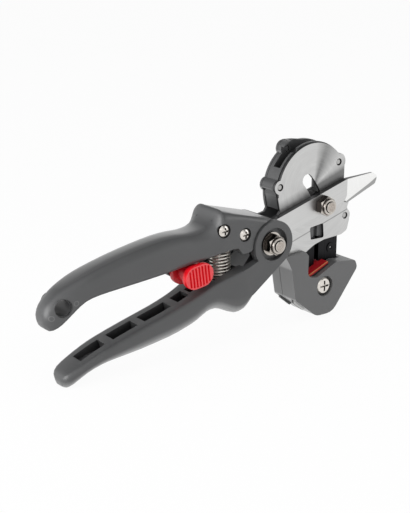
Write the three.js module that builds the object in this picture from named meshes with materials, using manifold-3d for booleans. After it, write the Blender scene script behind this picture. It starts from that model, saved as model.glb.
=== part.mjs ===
import * as THREE from "three";
import { mergeVertices } from "three/addons/utils/BufferGeometryUtils.js";
import Module from "manifold-3d";

const wasm = await Module();
wasm.setup();

// Grafting pruner, nearly closed. The pivot bolt's axis is the Y axis while the pieces are made.
// X runs from the grips to the head, Z is up and the front faces -Y. Millimetres and degrees.

// Fits and cuts
const fit = 0.3;
const overrun = 8;

// Frame: two plates with a spacer between them
const frameHalf = 6.3;
const plateThickness = 1.5;
const frameReach = 60;
const frameRise = 50;
const rimStep = 0.6;
const rimWidth = 5.4;
const earRadius = 3.9;
const rightEarRadius = 4.9;
const topEarReach = 4.3;
const leftEarAngle = 171.2;
const leftEarOut = -0.8;
const rightEarAngle = 32.5;
const rightEarOut = -2.7;
const topEarAngle = 119.5;
const topEarOut = 0.5;
const rivetRadius = 1.6;
const rivetHole = 2.0;
const rivetSunk = 0.5;
const rimPocketDepth = 3.8;
const rimFlange = 1.4;
const rimPocketFar = 2;
const rearFlange = 0.9;
const windowFillet = 1;
const rearWindowFoot = 7.4;
const rearWindowEnd = 44.6;

// Hinge
const bossRadius = 12.8;
const boltRadius = 3;
const bushWall = 1.4;
const cheekFront = 4.5;
const recessRadius = 9;
const recessDepth = 2.8;
const washerRadius = 6.4;
const washerThickness = 0.8;
const nutAcross = 10;
const nutHex = 4.2;
const nutCollar = 1.4;
const boltTail = 0.9;
const headHeight = 3.6;

// Guide bolt and its slot
const openAngle = 24;
const slotWidth = 6.9;
const guideHeadHeight = 3;

// Knife bar
const barThickness = 3;
const barUpper = 9.7;
const barLower = -1.3;
const barSlope = 16.2;
const barHub = 11;
const knifeTipThickness = 1;
const tailAngle = 230;
const tailLength = 25;
const tailHalf = 4;
const tailPinReach = 21;
const tailPinRadius = 1.5;

// Upper handle
const upperLength = 134;
const hornHeight = 23;
const upperHalf = 13.2;
const roof = 3.4;
const wall = 2.5;
const hangingHole = 4.6;
const headGap = 0.6;
const handleScrewHead = 3.2;
const handleScrewRecess = 3.8;
const handleScrewDepth = 2.2;
const handleScrewShank = 1.9;
const handleScrewEnd = 9.6;

// Lower handle
const lowerDrop = 51.4;
const lowerHalf = 14.4;
const floorWall = 3;
const pocketHalf = 6.6;
const channelHalf = 3.8;
const screenNear = 7.2;
const screenThickness = 2.6;
const cavityRadius = 16;
const edgeAngle = 35;
const ribDepth = 2.2;
const catchDepth = 6.8;

// Return spring
const springRadius = 6;
const wireRadius = 0.45;
const springTurns = 16;
const wellGap = 0.9;
const pegGap = 0.8;
const pegHeight = 2.6;

// Lock slider
const slideAngle = 7.5;
const slideTravel = 4.6;
const padLength = 17.8;
const padHeight = 12.4;
const padFace = 12.4;
const padGap = 1;
const padThickness = 3.2;
const sliderRear = 2;
const railThickness = 3;
const padRim = 0.9;
const grooveCount = 7;
const grooveWidth = 1.1;
const grooveDepth = 0.8;
const sliderBody = 13;
const sliderBodyHeight = 10.6;
const webThickness = 2.2;
const neckHalf = 1.6;
const neckLength = 9;
const headHalf = 4;
const headLength = 11.6;
const headThickness = 2;
const hookWidth = 4.6;
const stemThickness = 2.8;
const stemPlace = 5.2;
const clawLength = 3.7;
const clawThickness = 2;

// Jaw
const jawReach = 67.5;
const jawDrop = 51.4;
const jawHalf = 9;
const partingPlace = 2;
const padHalf = 6;
const jawScrewHead = 5;
const jawScrewRecess = 5.9;
const jawRecessDepth = 3;
const jawScrewShank = 2.2;
const jawScrewEnd = 6.6;
const panHeight = 2.4;
const crossArmShare = 0.62;
const crossWidth = 1.1;

// Blade arm and graft blade
const armHub = 8;
const armLug = 6.4;
const armThickness = 3.2;
const armPocketDepth = 1.9;
const bladeThickness = 0.9;
const bladeGap = 0.3;
const loopRadius = 2.4;
const loopMouth = 3.2;
const bladeTop = 5;
const edgeClearance = 0.4;
const wingHoleRadius = 0.9;
const wingBossRadius = 2.9;
const wingBossThickness = 0.5;
const bladeScrewRadius = 1.5;
const bladeScrewHead = 2.5;
const bladeScrewHeight = 1.8;
const bladeScrewZ = 0.6;

// Places that follow from the sizes above
const coreHalf = frameHalf - plateThickness - fit;
const barRear = -frameHalf - fit;
const barFront = barRear - barThickness;
const cheekInner = barFront - fit;
const cheekFace = cheekInner - cheekFront;
const rearCheekInner = frameHalf + fit;
const bushRadius = boltRadius + fit + bushWall;
const nutHeight = nutHex + nutCollar;

// Shares of the frame's reach and rise for the disc, the lower ear and the guide bolt
const discShares = [0.5733, 0.478];
const discRadiusShare = 0.498;
const lowerEarShares = [0.9867, 0.084];
const guideShares = [0.65, 0.2839];

// Shares of the upper length and the horn's height for the spring's top, the slide and the screws
const springTopShares = [-0.191, 0.139];
const slideShares = [-0.3627, -0.0739];
const handleScrewShares = [
  [-0.2418, 0.548],
  [-0.1401, 0.361],
];

// Shares of the lower length and drop for the spring's foot and the slider's claw
const lowerLengthShare = 0.948;
const springFootShares = [-0.2, -0.376];
const clawDropShare = 0.424;

// Shares of the jaw's reach and drop for its screw and the graft blade
const jawScrewShares = [0.6385, -0.6615];
const bladeSpanShares = [0.4715, 0.8711];
const bladeScrewShares = [0.5274, 0.7556];
const bladeTopShare = 0.8089;
const bladeShoulderShare = -0.1634;
const loopShare = 0.637;
const wingHoleShares = [0.8, -0.29];

// Top x and z, underside x and z, half width, upper and lower rounding, from the tail towards the horn.
// Shares of the upper handle's length, the horn's height and the handle's half width.
const upperGripShares = [
  [-0.996, -0.748, -0.991, -0.852, 0.227, 0.136, 0.136],
  [-0.996, -0.591, -0.974, -0.939, 0.439, 0.303, 0.212],
  [-0.984, -0.409, -0.944, -0.896, 0.561, 0.455, 0.258],
  [-0.957, -0.235, -0.911, -0.774, 0.606, 0.515, 0.273],
  [-0.922, -0.091, -0.875, -0.609, 0.629, 0.515, 0.258],
  [-0.863, 0.065, -0.831, -0.443, 0.652, 0.515, 0.242],
  [-0.797, 0.2, -0.776, -0.37, 0.674, 0.5, 0.242],
  [-0.705, 0.343, -0.687, -0.326, 0.682, 0.515, 0.242],
  [-0.597, 0.47, -0.582, -0.278, 0.697, 0.53, 0.242],
  [-0.496, 0.557, -0.485, -0.222, 0.727, 0.545, 0.242],
  [-0.425, 0.574, -0.418, -0.165, 0.765, 0.561, 0.242],
  [-0.369, 0.557, -0.363, -0.113, 0.811, 0.561, 0.227],
  [-0.312, 0.587, -0.312, -0.065, 0.871, 0.561, 0.197],
  [-0.277, 0.69, -0.283, -0.026, 0.924, 0.561, 0.167],
  [-0.258, 0.83, -0.266, 0.009, 0.97, 0.545, 0.136],
  [-0.248, 0.965, -0.255, 0.022, 0.985, 0.515, 0.121],
  [-0.238, 0.996, -0.243, 0.026, 1, 0.485, 0.121],
];
const upperHeadShares = [
  [-0.224, 0.957, -0.224, 0.039, 1, 0.424, 0.106],
  [-0.187, 0.887, -0.187, -0.113, 1, 0.303, 0.106],
  [-0.134, 0.8, -0.134, -0.113, 1, 0.227, 0.106],
  [0.03, 0.539, 0.03, -0.113, 1, 0.197, 0.106],
];

// The same for the lower handle: its rim, its underside and its half width.
const lowerGripShares = [
  [-0.983, -0.965, -0.979, -1.016, 0.208, 0.125, 0.125],
  [-0.981, -0.918, -0.967, -1.025, 0.41, 0.167, 0.222],
  [-0.961, -0.868, -0.943, -1, 0.528, 0.181, 0.319],
  [-0.909, -0.81, -0.887, -0.914, 0.604, 0.167, 0.361],
  [-0.843, -0.742, -0.822, -0.864, 0.639, 0.153, 0.403],
  [-0.776, -0.685, -0.753, -0.846, 0.66, 0.153, 0.431],
  [-0.65, -0.597, -0.626, -0.833, 0.66, 0.153, 0.444],
  [-0.52, -0.515, -0.492, -0.79, 0.667, 0.153, 0.458],
  [-0.441, -0.457, -0.413, -0.739, 0.688, 0.153, 0.458],
  [-0.394, -0.416, -0.365, -0.689, 0.722, 0.153, 0.444],
  [-0.346, -0.366, -0.317, -0.617, 0.764, 0.153, 0.431],
  [-0.299, -0.317, -0.272, -0.593, 0.819, 0.139, 0.417],
  [-0.257, -0.282, -0.23, -0.63, 0.882, 0.125, 0.403],
  [-0.217, -0.249, -0.187, -0.673, 0.938, 0.111, 0.375],
  [-0.186, -0.226, -0.149, -0.65, 0.979, 0.097, 0.319],
  [-0.161, -0.208, -0.123, -0.568, 1, 0.083, 0.208],
  [-0.139, -0.193, -0.106, -0.494, 1, 0.083, 0.111],
];

// Where the pockets start and end, in shares of the handles' lengths
const upperPocketShares = [
  [-0.885, -0.76],
  [-0.742, -0.61],
  [-0.592, -0.488],
];
const lowerPocketShares = [
  [-0.898, -0.786],
  [-0.749, -0.632],
  [-0.6, -0.47],
  [-0.437, -0.382],
];
const hookPocketShares = [-0.3695, -0.27];
const hollowShares = [
  [-0.276, 0.1],
  [-0.135, 0.1],
  [-0.135, -0.35],
  [-0.173, -0.399],
  [-0.276, -0.368],
];
const screenShares = [
  [-0.29, -0.31, 0],
  [-0.29, -0.14, 0.06],
  [-0.25, -0.075, 0.04],
  [-0.095, -0.075, 0],
  [-0.06, -0.31, 0],
];
const hangingShares = [-0.929, -0.448];

// Lug and notch under the handle's head: x, z and fillet, in shares of the upper length and the horn
const lugShares = [
  [-0.262, 0.028, 0],
  [-0.2, 0.088, 0.04],
  [-0.172, 0.078, 0.05],
  [-0.153, -0.08, 0.05],
  [-0.126, -0.096, 0.05],
  [-0.1, -0.03, 0.04],
  [-0.072, 0, 0],
  [-0.072, -0.45, 0],
  [-0.262, -0.45, 0],
];

// Rail beside the slider, in the same shares
const railShares = [
  [-0.433, -0.09, 0],
  [-0.433, -0.51, 0.17],
  [-0.32, -0.44, 0.1],
  [-0.32, -0.03, 0],
];

// Outlines inside the head: x, z and fillet. The tail lies in the upper handle.
const tailShares = [
  [0.072, 0.543, 0],
  [0.009, 0.478, 0.109],
  [-0.264, 0.815, 0.109],
  [-0.273, 0.37, 0.109],
  [-0.125, 0.143, 0.13],
  [-0.045, -0.217, 0],
  [0.045, -0.217, 0],
];
const plateShares = [
  [0.15, 0.44, 0],
  [0.177, 0.288, 0],
  [0.1, 0.15, 0],
  [-0.02, -0.21, 0.1],
  [0.22, -0.23, 0],
  [0.455, -0.28, 0],
  [0.52, -0.232, 0.04],
  [0.612, -0.176, 0.1],
  [0.73, -0.142, 0.06],
  [0.945, -0.13, 0.02],
  [1.018, -0.092, 0.05],
  [1.045, 0.03, 0.02],
  [1.012, 0.18, 0.02],
  [1.03, 0.235, 0.01],
  [0.957, 0.34, 0.02],
  [0.957, 0.6, 0],
];
// The lobe behind the top ear, in shares of the disc's radius from its middle
const lobeShares = [
  [-0.497, 1.068, 0],
  [-0.237, 1.056, 0.08],
  [-0.001, 1.016, 0],
  [-0.056, 0.867, 0],
  [-0.418, 0.867, 0],
];
const windowShares = [
  [0.545, 0.03],
  [0.71, 0.052],
  [0.723, -0.116],
  [0.562, -0.112],
];
const knifeShares = [
  [0.947, 0.524, 0.2],
  [1.3, 0.534, 0.03],
  [1.368, 0.49, 0.03],
  [1.357, 0.392, 0.02],
  [0.997, 0.232, 0.015],
  [0.938, 0.284, 0],
];
const grindShares = [
  [0.93, 0.332],
  [1.4, 0.456],
];
const coreWallShares = [
  [0.145, 0.56, 0],
  [0.15, 0.46, 0.02],
  [0.178, 0.304, 0],
  [0.194, 0.304, 0],
  [0.252, 0.38, 0.04],
  [0.262, 0.48, 0],
  [0.29, 0.54, 0],
];
const spacerShares = [
  [0.072, 0.489, 0],
  [0.009, 0.478, 0.109],
  [-0.264, 0.815, 0.109],
  [-0.273, 0.37, 0.109],
  [-0.125, 0.143, 0.13],
  [-0.067, 0.043, 0],
];
const armShares = [
  [0.095, 0.094, 0],
  [0.55, 0.294, 0],
  [0.62, 0.4, 0],
  [0.78, 0.3, 0.06],
  [0.9, 0.12, 0.08],
  [0.916, -0.09, 0.05],
  [0.56, -0.104, 0.05],
  [0.42, -0.07, 0.1],
  [0.04, -0.15, 0],
];
const armPocketShares = [
  [0.618, 0.09, 0.01],
  [0.663, 0.1, 0.01],
  [0.663, -0.2, 0],
  [0.618, -0.2, 0],
];

// Jaw outlines, in shares of the jaw's reach and drop
const jawShares = [
  [0.193, -0.218, 0.01],
  [0.409, -0.208, 0.015],
  [0.447, -0.265, 0.03],
  [0.443, -0.51, 0.07],
  [0.545, -0.535, 0.05],
  [0.763, -0.408, 0.06],
  [0.98, -0.442, 0.05],
  [1.01, -0.532, 0.06],
  [0.734, -0.99, 0.17],
  [0.55, -0.986, 0.15],
  [0.315, -0.742, 0.05],
  [0.266, -0.38, 0.1],
  [0.226, -0.283, 0.02],
];
const limbShares = [
  [0.19, -0.1, 0],
  [0.404, -0.1, 0],
  [0.404, -0.57, 0.04],
  [0.51, -0.62, 0.03],
  [0.52, -0.84, 0.03],
  [0.43, -0.895, 0],
  [0.327, -0.785, 0.02],
  [0.305, -0.4, 0.05],
  [0.265, -0.3, 0.03],
];
const padShares = [
  [0.456, -0.525, 0.01],
  [0.705, -0.398, 0.01],
  [0.712, -0.47, 0.01],
  [0.53, -0.59, 0.02],
  [0.456, -0.588, 0.01],
];
const bladeSlotShares = [
  [0.69, -0.3, 0],
  [0.9, -0.3, 0],
  [0.9, -0.475, 0.01],
  [0.69, -0.475, 0.01],
];
const edgeShares = [
  [0.4, -0.554],
  [0.745, -0.377],
  [0.95, -0.371],
];

// Places that follow from the shares
const radians = THREE.MathUtils.degToRad;
const lowerLength = lowerLengthShare * upperLength;
const discX = discShares[0] * frameReach;
const discZ = discShares[1] * frameRise;
const discRadius = discRadiusShare * frameRise;
const rimRadius = discRadius + rimStep;
const onRim = (angle, out) => [
  discX + (discRadius + out) * Math.cos(radians(angle)),
  discZ + (discRadius + out) * Math.sin(radians(angle)),
];
const guideX = guideShares[0] * frameReach;
const guideZ = guideShares[1] * frameRise;
const guideRadius = Math.hypot(guideX, guideZ);
const guideAngle = THREE.MathUtils.radToDeg(Math.atan2(guideZ, guideX));
const slideX = slideShares[0] * upperLength;
const slideZ = slideShares[1] * hornHeight;
const clawDrop = clawDropShare * lowerDrop;
const jawScrewX = jawScrewShares[0] * jawReach;
const jawScrewZ = jawScrewShares[1] * jawDrop;
const [bladeLeft, bladeRight] = bladeSpanShares.map((share) => share * jawReach);
const [bladeScrewLeft, bladeScrewRight] = bladeScrewShares.map((share) => share * jawReach);
const bladeTopRight = bladeTopShare * jawReach;
const bladeShoulder = bladeShoulderShare * jawDrop;
const loopX = loopShare * jawReach;
const wingHoleX = wingHoleShares[0] * jawReach;
const wingHoleZ = wingHoleShares[1] * jawDrop;

// Turns a table of shares into points with fillets.
function sized(shares, width, height) {
  return shares.map(([x, z, fillet = 0]) => [x * width, z * height, fillet * height]);
}

// Turns a table of sections into millimetres.
function sections(shares, length, height, half) {
  return shares.map(([tx, tz, bx, bz, ...rest]) => [
    tx * length, tz * height, bx * length, bz * height, ...rest.map((share) => share * half),
  ]);
}

// A closed mesh as a solid for joins and cuts.
function solid(geometry) {
  const bare = geometry.clone();
  bare.deleteAttribute("normal");
  bare.deleteAttribute("uv");
  const merged = mergeVertices(bare);
  const triVerts = new Uint32Array(merged.index.array);
  const vertProperties = merged.attributes.position.array;
  return new wasm.Manifold(new wasm.Mesh({ numProp: 3, vertProperties, triVerts }));
}

function join(...solids) {
  return solids.reduce((whole, piece) => whole.add(piece));
}

function cut(whole, ...tools) {
  return tools.reduce((left, tool) => left.subtract(tool), whole);
}

// A solid as a named mesh with its material.
function mesh(name, shape, material) {
  const { vertProperties, triVerts } = shape.getMesh();
  const geometry = new THREE.BufferGeometry();
  geometry.setAttribute("position", new THREE.BufferAttribute(new Float32Array(vertProperties), 3));
  geometry.setIndex(new THREE.BufferAttribute(new Uint32Array(triVerts), 1));
  geometry.computeVertexNormals();
  const piece = new THREE.Mesh(geometry, material);
  piece.name = name;
  return piece;
}

// Corners with fillets as the points of a closed outline.
function filleted(corners, step = 18) {
  const points = [];
  corners.forEach(([x, z, fillet = 0], i) => {
    const here = new THREE.Vector2(x, z);
    const [bx, bz] = corners.at(i - 1);
    const [ax, az] = corners[(i + 1) % corners.length];
    const back = new THREE.Vector2(bx, bz).sub(here);
    const ahead = new THREE.Vector2(ax, az).sub(here);
    const turn = Math.PI - Math.abs(back.angleTo(ahead));
    if (fillet <= 0 || turn < 1e-3) {
      points.push(here);
      return;
    }
    const tangent = Math.min(fillet * Math.tan(turn / 2), back.length() / 2, ahead.length() / 2);
    const radius = tangent / Math.tan(turn / 2);
    back.normalize();
    ahead.normalize();
    const middle = back.clone().add(ahead).normalize();
    const centre = here.clone().addScaledVector(middle, Math.hypot(tangent, radius));
    const start = here.clone().addScaledVector(back, tangent).sub(centre);
    const side = Math.sign(back.cross(ahead)) < 0 ? 1 : -1;
    const count = Math.max(2, Math.ceil(THREE.MathUtils.radToDeg(turn) / step));
    for (let k = 0; k <= count; k++) {
      const arm = start.clone().rotateAround(new THREE.Vector2(), side * turn * (k / count));
      points.push(arm.add(centre));
    }
  });
  return points;
}

// Moves each side of an outline outwards by a distance.
function grown(corners, distance) {
  const flat = corners.map(([x, z]) => new THREE.Vector2(x, z));
  const outwards = THREE.ShapeUtils.isClockWise(flat) ? -1 : 1;
  return corners.map(([x, z, fillet = 0], i) => {
    const before = flat[i].clone().sub(flat.at(i - 1)).normalize();
    const after = flat[(i + 1) % flat.length].clone().sub(flat[i]).normalize();
    const first = new THREE.Vector2(before.y, -before.x).multiplyScalar(outwards);
    const second = new THREE.Vector2(after.y, -after.x).multiplyScalar(outwards);
    const shift = first.add(second);
    shift.multiplyScalar((2 * distance) / shift.lengthSq());
    return [x + shift.x, z + shift.y, fillet];
  });
}

// Extrudes an outline in X and Z between two places on Y, with an optional bevel.
function prism(points, near, far, bevel = 0) {
  const settings = { depth: far - near - 2 * bevel, bevelEnabled: bevel > 0 };
  settings.bevelThickness = bevel;
  settings.bevelSize = bevel;
  settings.bevelOffset = -bevel;
  settings.bevelSegments = 2;
  const geometry = new THREE.ExtrudeGeometry(new THREE.Shape(points), settings);
  geometry.rotateX(Math.PI / 2);
  geometry.translate(0, far - bevel, 0);
  return solid(geometry);
}

function outline(corners) {
  return filleted(corners);
}

// A round pin along Y.
function pin(x, z, radius, near, far, sides = 20) {
  const geometry = new THREE.CylinderGeometry(radius, radius, far - near, sides);
  geometry.translate(x, (near + far) / 2, z);
  return solid(geometry);
}

// A body turned about Y from pairs of radius and height.
function turned(profile, sides = 20) {
  const points = profile.map(([radius, y]) => new THREE.Vector2(radius, y));
  return solid(new THREE.LatheGeometry(points, sides));
}

function box(x0, x1, y0, y1, z0, z1) {
  const geometry = new THREE.BoxGeometry(x1 - x0, y1 - y0, z1 - z0);
  geometry.translate((x0 + x1) / 2, (y0 + y1) / 2, (z0 + z1) / 2);
  return geometry;
}

// One rounded section between its top and bottom points, walked from +Y over the top to -Y.
function ring([tx, tz, bx, bz, half, upper, lower]) {
  const middle = new THREE.Vector3((tx + bx) / 2, 0, (tz + bz) / 2);
  const up = new THREE.Vector3(tx - bx, 0, tz - bz);
  const height = up.length() / 2;
  up.normalize();
  const corners = [
    [1, 1, upper, 5],
    [-1, 1, upper, 5],
    [-1, -1, lower, 4],
    [1, -1, lower, 4],
  ];
  const loop = [];
  corners.forEach(([sideways, upwards, wanted, count], quarter) => {
    const rounding = Math.min(wanted, half - fit, height - fit);
    for (let k = 0; k <= count; k++) {
      const angle = (quarter + k / count) * (Math.PI / 2);
      const y = sideways * (half - rounding) + rounding * Math.cos(angle);
      const v = upwards * (height - rounding) + rounding * Math.sin(angle);
      loop.push(middle.clone().addScaledVector(up, v).setY(y));
    }
  });
  return loop;
}

// Adds a row halfway between each two, on the curve that runs through them and their neighbours.
function smooth(rows) {
  const run = [];
  for (let i = 0; i < rows.length - 1; i++) {
    const before = rows[Math.max(0, i - 1)];
    const next = rows[i + 1];
    const after = rows[Math.min(rows.length - 1, i + 2)];
    run.push(rows[i], next.map((value, j) => {
      const middle = (rows[i][j] + value) / 2;
      return middle + (2 * middle - before[j] - after[j]) / 16;
    }));
  }
  run.push(rows.at(-1));
  return run;
}

// Skins a row of equal loops and closes both ends.
function loft(loops) {
  const count = loops[0].length;
  const positions = loops.flat().flatMap((point) => point.toArray());
  const faces = [];
  for (let i = 0; i < loops.length - 1; i++) {
    for (let j = 0; j < count; j++) {
      const a = i * count + j;
      const b = i * count + ((j + 1) % count);
      faces.push(a, b, b + count, a, b + count, a + count);
    }
  }
  const last = (loops.length - 1) * count;
  for (let j = 1; j < count - 1; j++) {
    faces.push(0, j + 1, j);
    faces.push(last, last + j, last + j + 1);
  }
  const geometry = new THREE.BufferGeometry();
  geometry.setAttribute("position", new THREE.Float32BufferAttribute(positions, 3));
  geometry.setIndex(faces);
  return geometry;
}

// The section where one rail of a handle passes a given x. The rail is 0 for the top and 2 for the underside.
function sectionAt(rows, rail, x) {
  const i = Math.max(1, rows.findIndex((row) => row[rail] >= x));
  const share = (x - rows[i - 1][rail]) / (rows[i][rail] - rows[i - 1][rail]);
  const row = rows[i].map((value, j) => THREE.MathUtils.lerp(rows[i - 1][j], value, share));
  const top = new THREE.Vector2(row[0], row[1]);
  const bottom = new THREE.Vector2(row[2], row[3]);
  return { top, bottom, up: top.clone().sub(bottom).normalize(), half: row[4] };
}

// A pocket that follows a handle and keeps its walls, from one height above the underside to another.
function pocket(rows, rail, from, to, widest, lowEnd, highEnd) {
  const count = 4;
  const near = [];
  const far = [];
  let half = widest;
  for (let k = 0; k <= count; k++) {
    const section = sectionAt(rows, rail, THREE.MathUtils.lerp(from, to, k / count));
    const { top, bottom, up } = section;
    const height = top.distanceTo(bottom);
    near.push(bottom.clone().addScaledVector(up, lowEnd(height)));
    far.push(bottom.clone().addScaledVector(up, highEnd(height)));
    half = Math.min(half, section.half - wall);
  }
  return prism([...near, ...far.reverse()], -half, half);
}

// A round bar along the spring's axis, between two distances from its foot.
const springFoot = new THREE.Vector3(springFootShares[0] * lowerLength, 0, springFootShares[1] * lowerDrop);
const springTop = new THREE.Vector3(springTopShares[0] * upperLength, 0, springTopShares[1] * hornHeight);
const springAxis = springTop.clone().sub(springFoot);
const springLength = springAxis.length();
springAxis.normalize();
const springLean = Math.atan2(springAxis.x, springAxis.z);
function onSpringAxis(radius, from, to, sides = 24) {
  const geometry = new THREE.CylinderGeometry(radius, radius, to - from, sides);
  geometry.rotateX(Math.PI / 2);
  geometry.translate(0, 0, (from + to) / 2);
  geometry.rotateY(springLean);
  geometry.translate(springFoot.x, springFoot.y, springFoot.z);
  return solid(geometry);
}

// Puts a body made in the slider's own frame into the part's frame.
function onSlide(geometry) {
  geometry.rotateY(-radians(slideAngle));
  geometry.translate(slideX, 0, slideZ);
  return solid(geometry);
}

// Materials
const plastic = new THREE.MeshStandardMaterial({ color: 0x4a4b4d, roughness: 0.6, metalness: 0 });
const blackPlastic = new THREE.MeshStandardMaterial({ color: 0x1d1d1f, roughness: 0.55, metalness: 0 });
const steel = new THREE.MeshStandardMaterial({ color: 0xb9b9b8, roughness: 0.4, metalness: 0.9 });
const nickel = new THREE.MeshStandardMaterial({ color: 0xd2ccc4, roughness: 0.2, metalness: 1 });
const blackSteel = new THREE.MeshStandardMaterial({ color: 0x18181a, roughness: 0.35, metalness: 0.6 });
const redPlastic = new THREE.MeshStandardMaterial({ color: 0xd3131c, roughness: 0.4, metalness: 0 });
const padRed = new THREE.MeshStandardMaterial({ color: 0xa3121c, roughness: 0.5, metalness: 0 });
const springWire = new THREE.MeshStandardMaterial({ color: 0xc9c4be, roughness: 0.25, metalness: 1 });

// Frame plates, spacer and rivets
const edgeOfDisc = plateShares.at(-1)[0] * frameReach;
function discProfile(radius, ears) {
  const disc = cut(
    pin(discX, discZ, radius, -frameHalf, frameHalf, 72),
    solid(box(edgeOfDisc, discX + 2 * radius, -overrun, overrun, -radius, discZ + radius)),
  );
  return join(disc, ...ears.map(([x, z, reach]) => pin(x, z, reach, -frameHalf, frameHalf)));
}

function slotTool(near, far) {
  const inner = guideRadius - slotWidth / 2;
  const outer = guideRadius + slotWidth / 2;
  const first = radians(guideAngle);
  const last = radians(guideAngle + openAngle);
  const points = [];
  const arcs = [[outer, first, last], [inner, last, first]];
  const ends = [last, first];
  arcs.forEach(([radius, from, to], i) => {
    for (let k = 0; k <= 8; k++) {
      const angle = THREE.MathUtils.lerp(from, to, k / 8);
      points.push(new THREE.Vector2(radius * Math.cos(angle), radius * Math.sin(angle)));
    }
    const centre = new THREE.Vector2(guideRadius * Math.cos(ends[i]), guideRadius * Math.sin(ends[i]));
    const start = points.at(-1).clone().sub(centre);
    for (let k = 1; k < 8; k++) {
      points.push(start.clone().rotateAround(new THREE.Vector2(), (Math.PI * k) / 8).add(centre));
    }
  });
  return prism(points, near, far);
}

function plate(near, far, radius, ears) {
  const slab = prism(discPlateCorners, near, far);
  const tail = prism(outline(sized(tailShares, upperLength, hornHeight)), near, far);
  const limb = prism(outline(sized(limbShares, jawReach, jawDrop)), near, far);
  const wide = overrun * frameReach;
  const slice = solid(box(-wide, wide, near, far, -wide, wide));
  let blank = join(slab, tail, limb, discProfile(radius, ears).intersect(slice));
  blank = join(blank, pin(0, 0, barHub, near, far, 32));
  const holes = [[0, 0, bushRadius + fit], ...ears.map(([x, z]) => [x, z, rivetHole])];
  handleScrews.forEach(([x, z]) => holes.push([x, z, handleScrewShank + fit]));
  return cut(blank, ...holes.map(([x, z, radius]) => pin(x, z, radius, near - overrun, far + overrun)));
}

const discPlateCorners = outline(sized(plateShares, frameReach, frameRise));
const leftEar = [...onRim(leftEarAngle, leftEarOut), earRadius];
const rightEar = [...onRim(rightEarAngle, rightEarOut), rightEarRadius];
const lowerEar = [lowerEarShares[0] * frameReach, lowerEarShares[1] * frameRise, earRadius];
const topEar = [...onRim(topEarAngle, topEarOut), topEarReach];
const lobeCorners = lobeShares.map(([x, z, fillet]) => {
  return [discX + x * discRadius, discZ + z * discRadius, fillet * discRadius];
});
const handleScrews = handleScrewShares.map(([x, z]) => [x * upperLength, z * hornHeight]);

function frontPlate() {
  const near = -frameHalf;
  const far = near + plateThickness;
  const window = sized(windowShares, frameReach, frameRise).map(([x, z]) => [x, z, windowFillet]);
  const slot = slotTool(near - overrun, far + overrun);
  return cut(
    plate(near, far, discRadius, [leftEar, rightEar, lowerEar]),
    slot,
    prism(outline(window), near - overrun, far + overrun),
  );
}

// The rear plate has a half-moon window above the bar.
function rearPlate() {
  const far = frameHalf;
  const near = far - plateThickness;
  const below = box(-discRadius, 2 * discRadius, -overrun, overrun, -2 * discRadius, rearWindowFoot);
  below.rotateY(-radians(barSlope));
  const right = box(rearWindowEnd, 2 * frameReach, -overrun, overrun, -frameReach, 2 * frameReach);
  const round = pin(discX, discZ, discRadius - rimWidth, near - overrun, far + overrun, 48);
  const moon = cut(round, solid(below), solid(right));
  const lobe = prism(outline(lobeCorners), near, far);
  return join(cut(plate(near, far, rimRadius, [leftEar, rightEar, lowerEar, topEar]), moon), lobe);
}

function arcSector(inner, outer, from, to, near, far) {
  const points = [];
  [[outer, from, to], [inner, to, from]].forEach(([radius, a, b]) => {
    for (let k = 0; k <= 10; k++) {
      const angle = radians(THREE.MathUtils.lerp(a, b, k / 10));
      points.push(new THREE.Vector2(discX + radius * Math.cos(angle), discZ + radius * Math.sin(angle)));
    }
  });
  return prism(points, near, far);
}

const rimStartAngle = 175;
const rimEndAngle = 8;
const pocketAngles = [55, 114, 148];
function frameCore() {
  const inner = discRadius - rimWidth;
  const ears = [leftEar, rightEar];
  const lobe = prism(outline(lobeCorners), 0, coreHalf);
  const wide = overrun * frameReach;
  const slice = solid(box(-wide, wide, -coreHalf, coreHalf, -frameReach, 2 * frameReach));
  let rim = cut(discProfile(rimRadius, ears), pin(discX, discZ, inner, -overrun, overrun, 48));
  rim = rim.intersect(slice);
  const below = arcSector(0, 2 * discRadius, rimStartAngle - 360, rimEndAngle, -overrun, overrun);
  rim = cut(rim, below);
  const bump = join(pin(...topEar, 0, coreHalf), lobe);
  const left = prism(outline(sized(coreWallShares, frameReach, frameRise)), -coreHalf, coreHalf);
  const body = join(rim, left, bump);
  const pocketFloor = discRadius - rimPocketDepth;
  const open = discRadius + earRadius;
  const pocketNear = -coreHalf + rimFlange;
  return cut(
    body,
    arcSector(pocketFloor, open, pocketAngles[0], pocketAngles[1], pocketNear, coreHalf - rearFlange),
    arcSector(pocketFloor, open, pocketAngles[1] - fit, pocketAngles[2], pocketNear, rimPocketFar),
    ...[leftEar, rightEar, topEar].map(([x, z]) => pin(x, z, rivetRadius + fit, -overrun, overrun)),
  );
}

// An outline of the lower member as it lies when the tool is fully open.
function opened(corners) {
  const cos = Math.cos(radians(openAngle));
  const sin = Math.sin(radians(openAngle));
  return corners.map(([x, z, fillet]) => [x * cos - z * sin, x * sin + z * cos, fillet]);
}

// Spacer between the plates' tails, inside the upper handle.
function tailSpacer() {
  const tail = prism(outline(sized(spacerShares, upperLength, hornHeight)), -coreHalf, coreHalf);
  const openedArm = opened(grown(sized(armShares, frameReach, frameRise), fit));
  return cut(
    tail,
    prism(outline(openedArm), -overrun, overrun),
    pin(0, 0, barHub - 2 * fit, -overrun, overrun, 32),
    ...handleScrews.map(([x, z]) => pin(x, z, handleScrewShank + fit, -overrun, overrun)),
  );
}

function rivet(near, far) {
  const chamfer = fit;
  return turned([
    [0, near],
    [rivetRadius - chamfer, near],
    [rivetRadius, near + chamfer],
    [rivetRadius, far - chamfer],
    [rivetRadius - chamfer, far],
    [0, far],
  ], 16);
}

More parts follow.
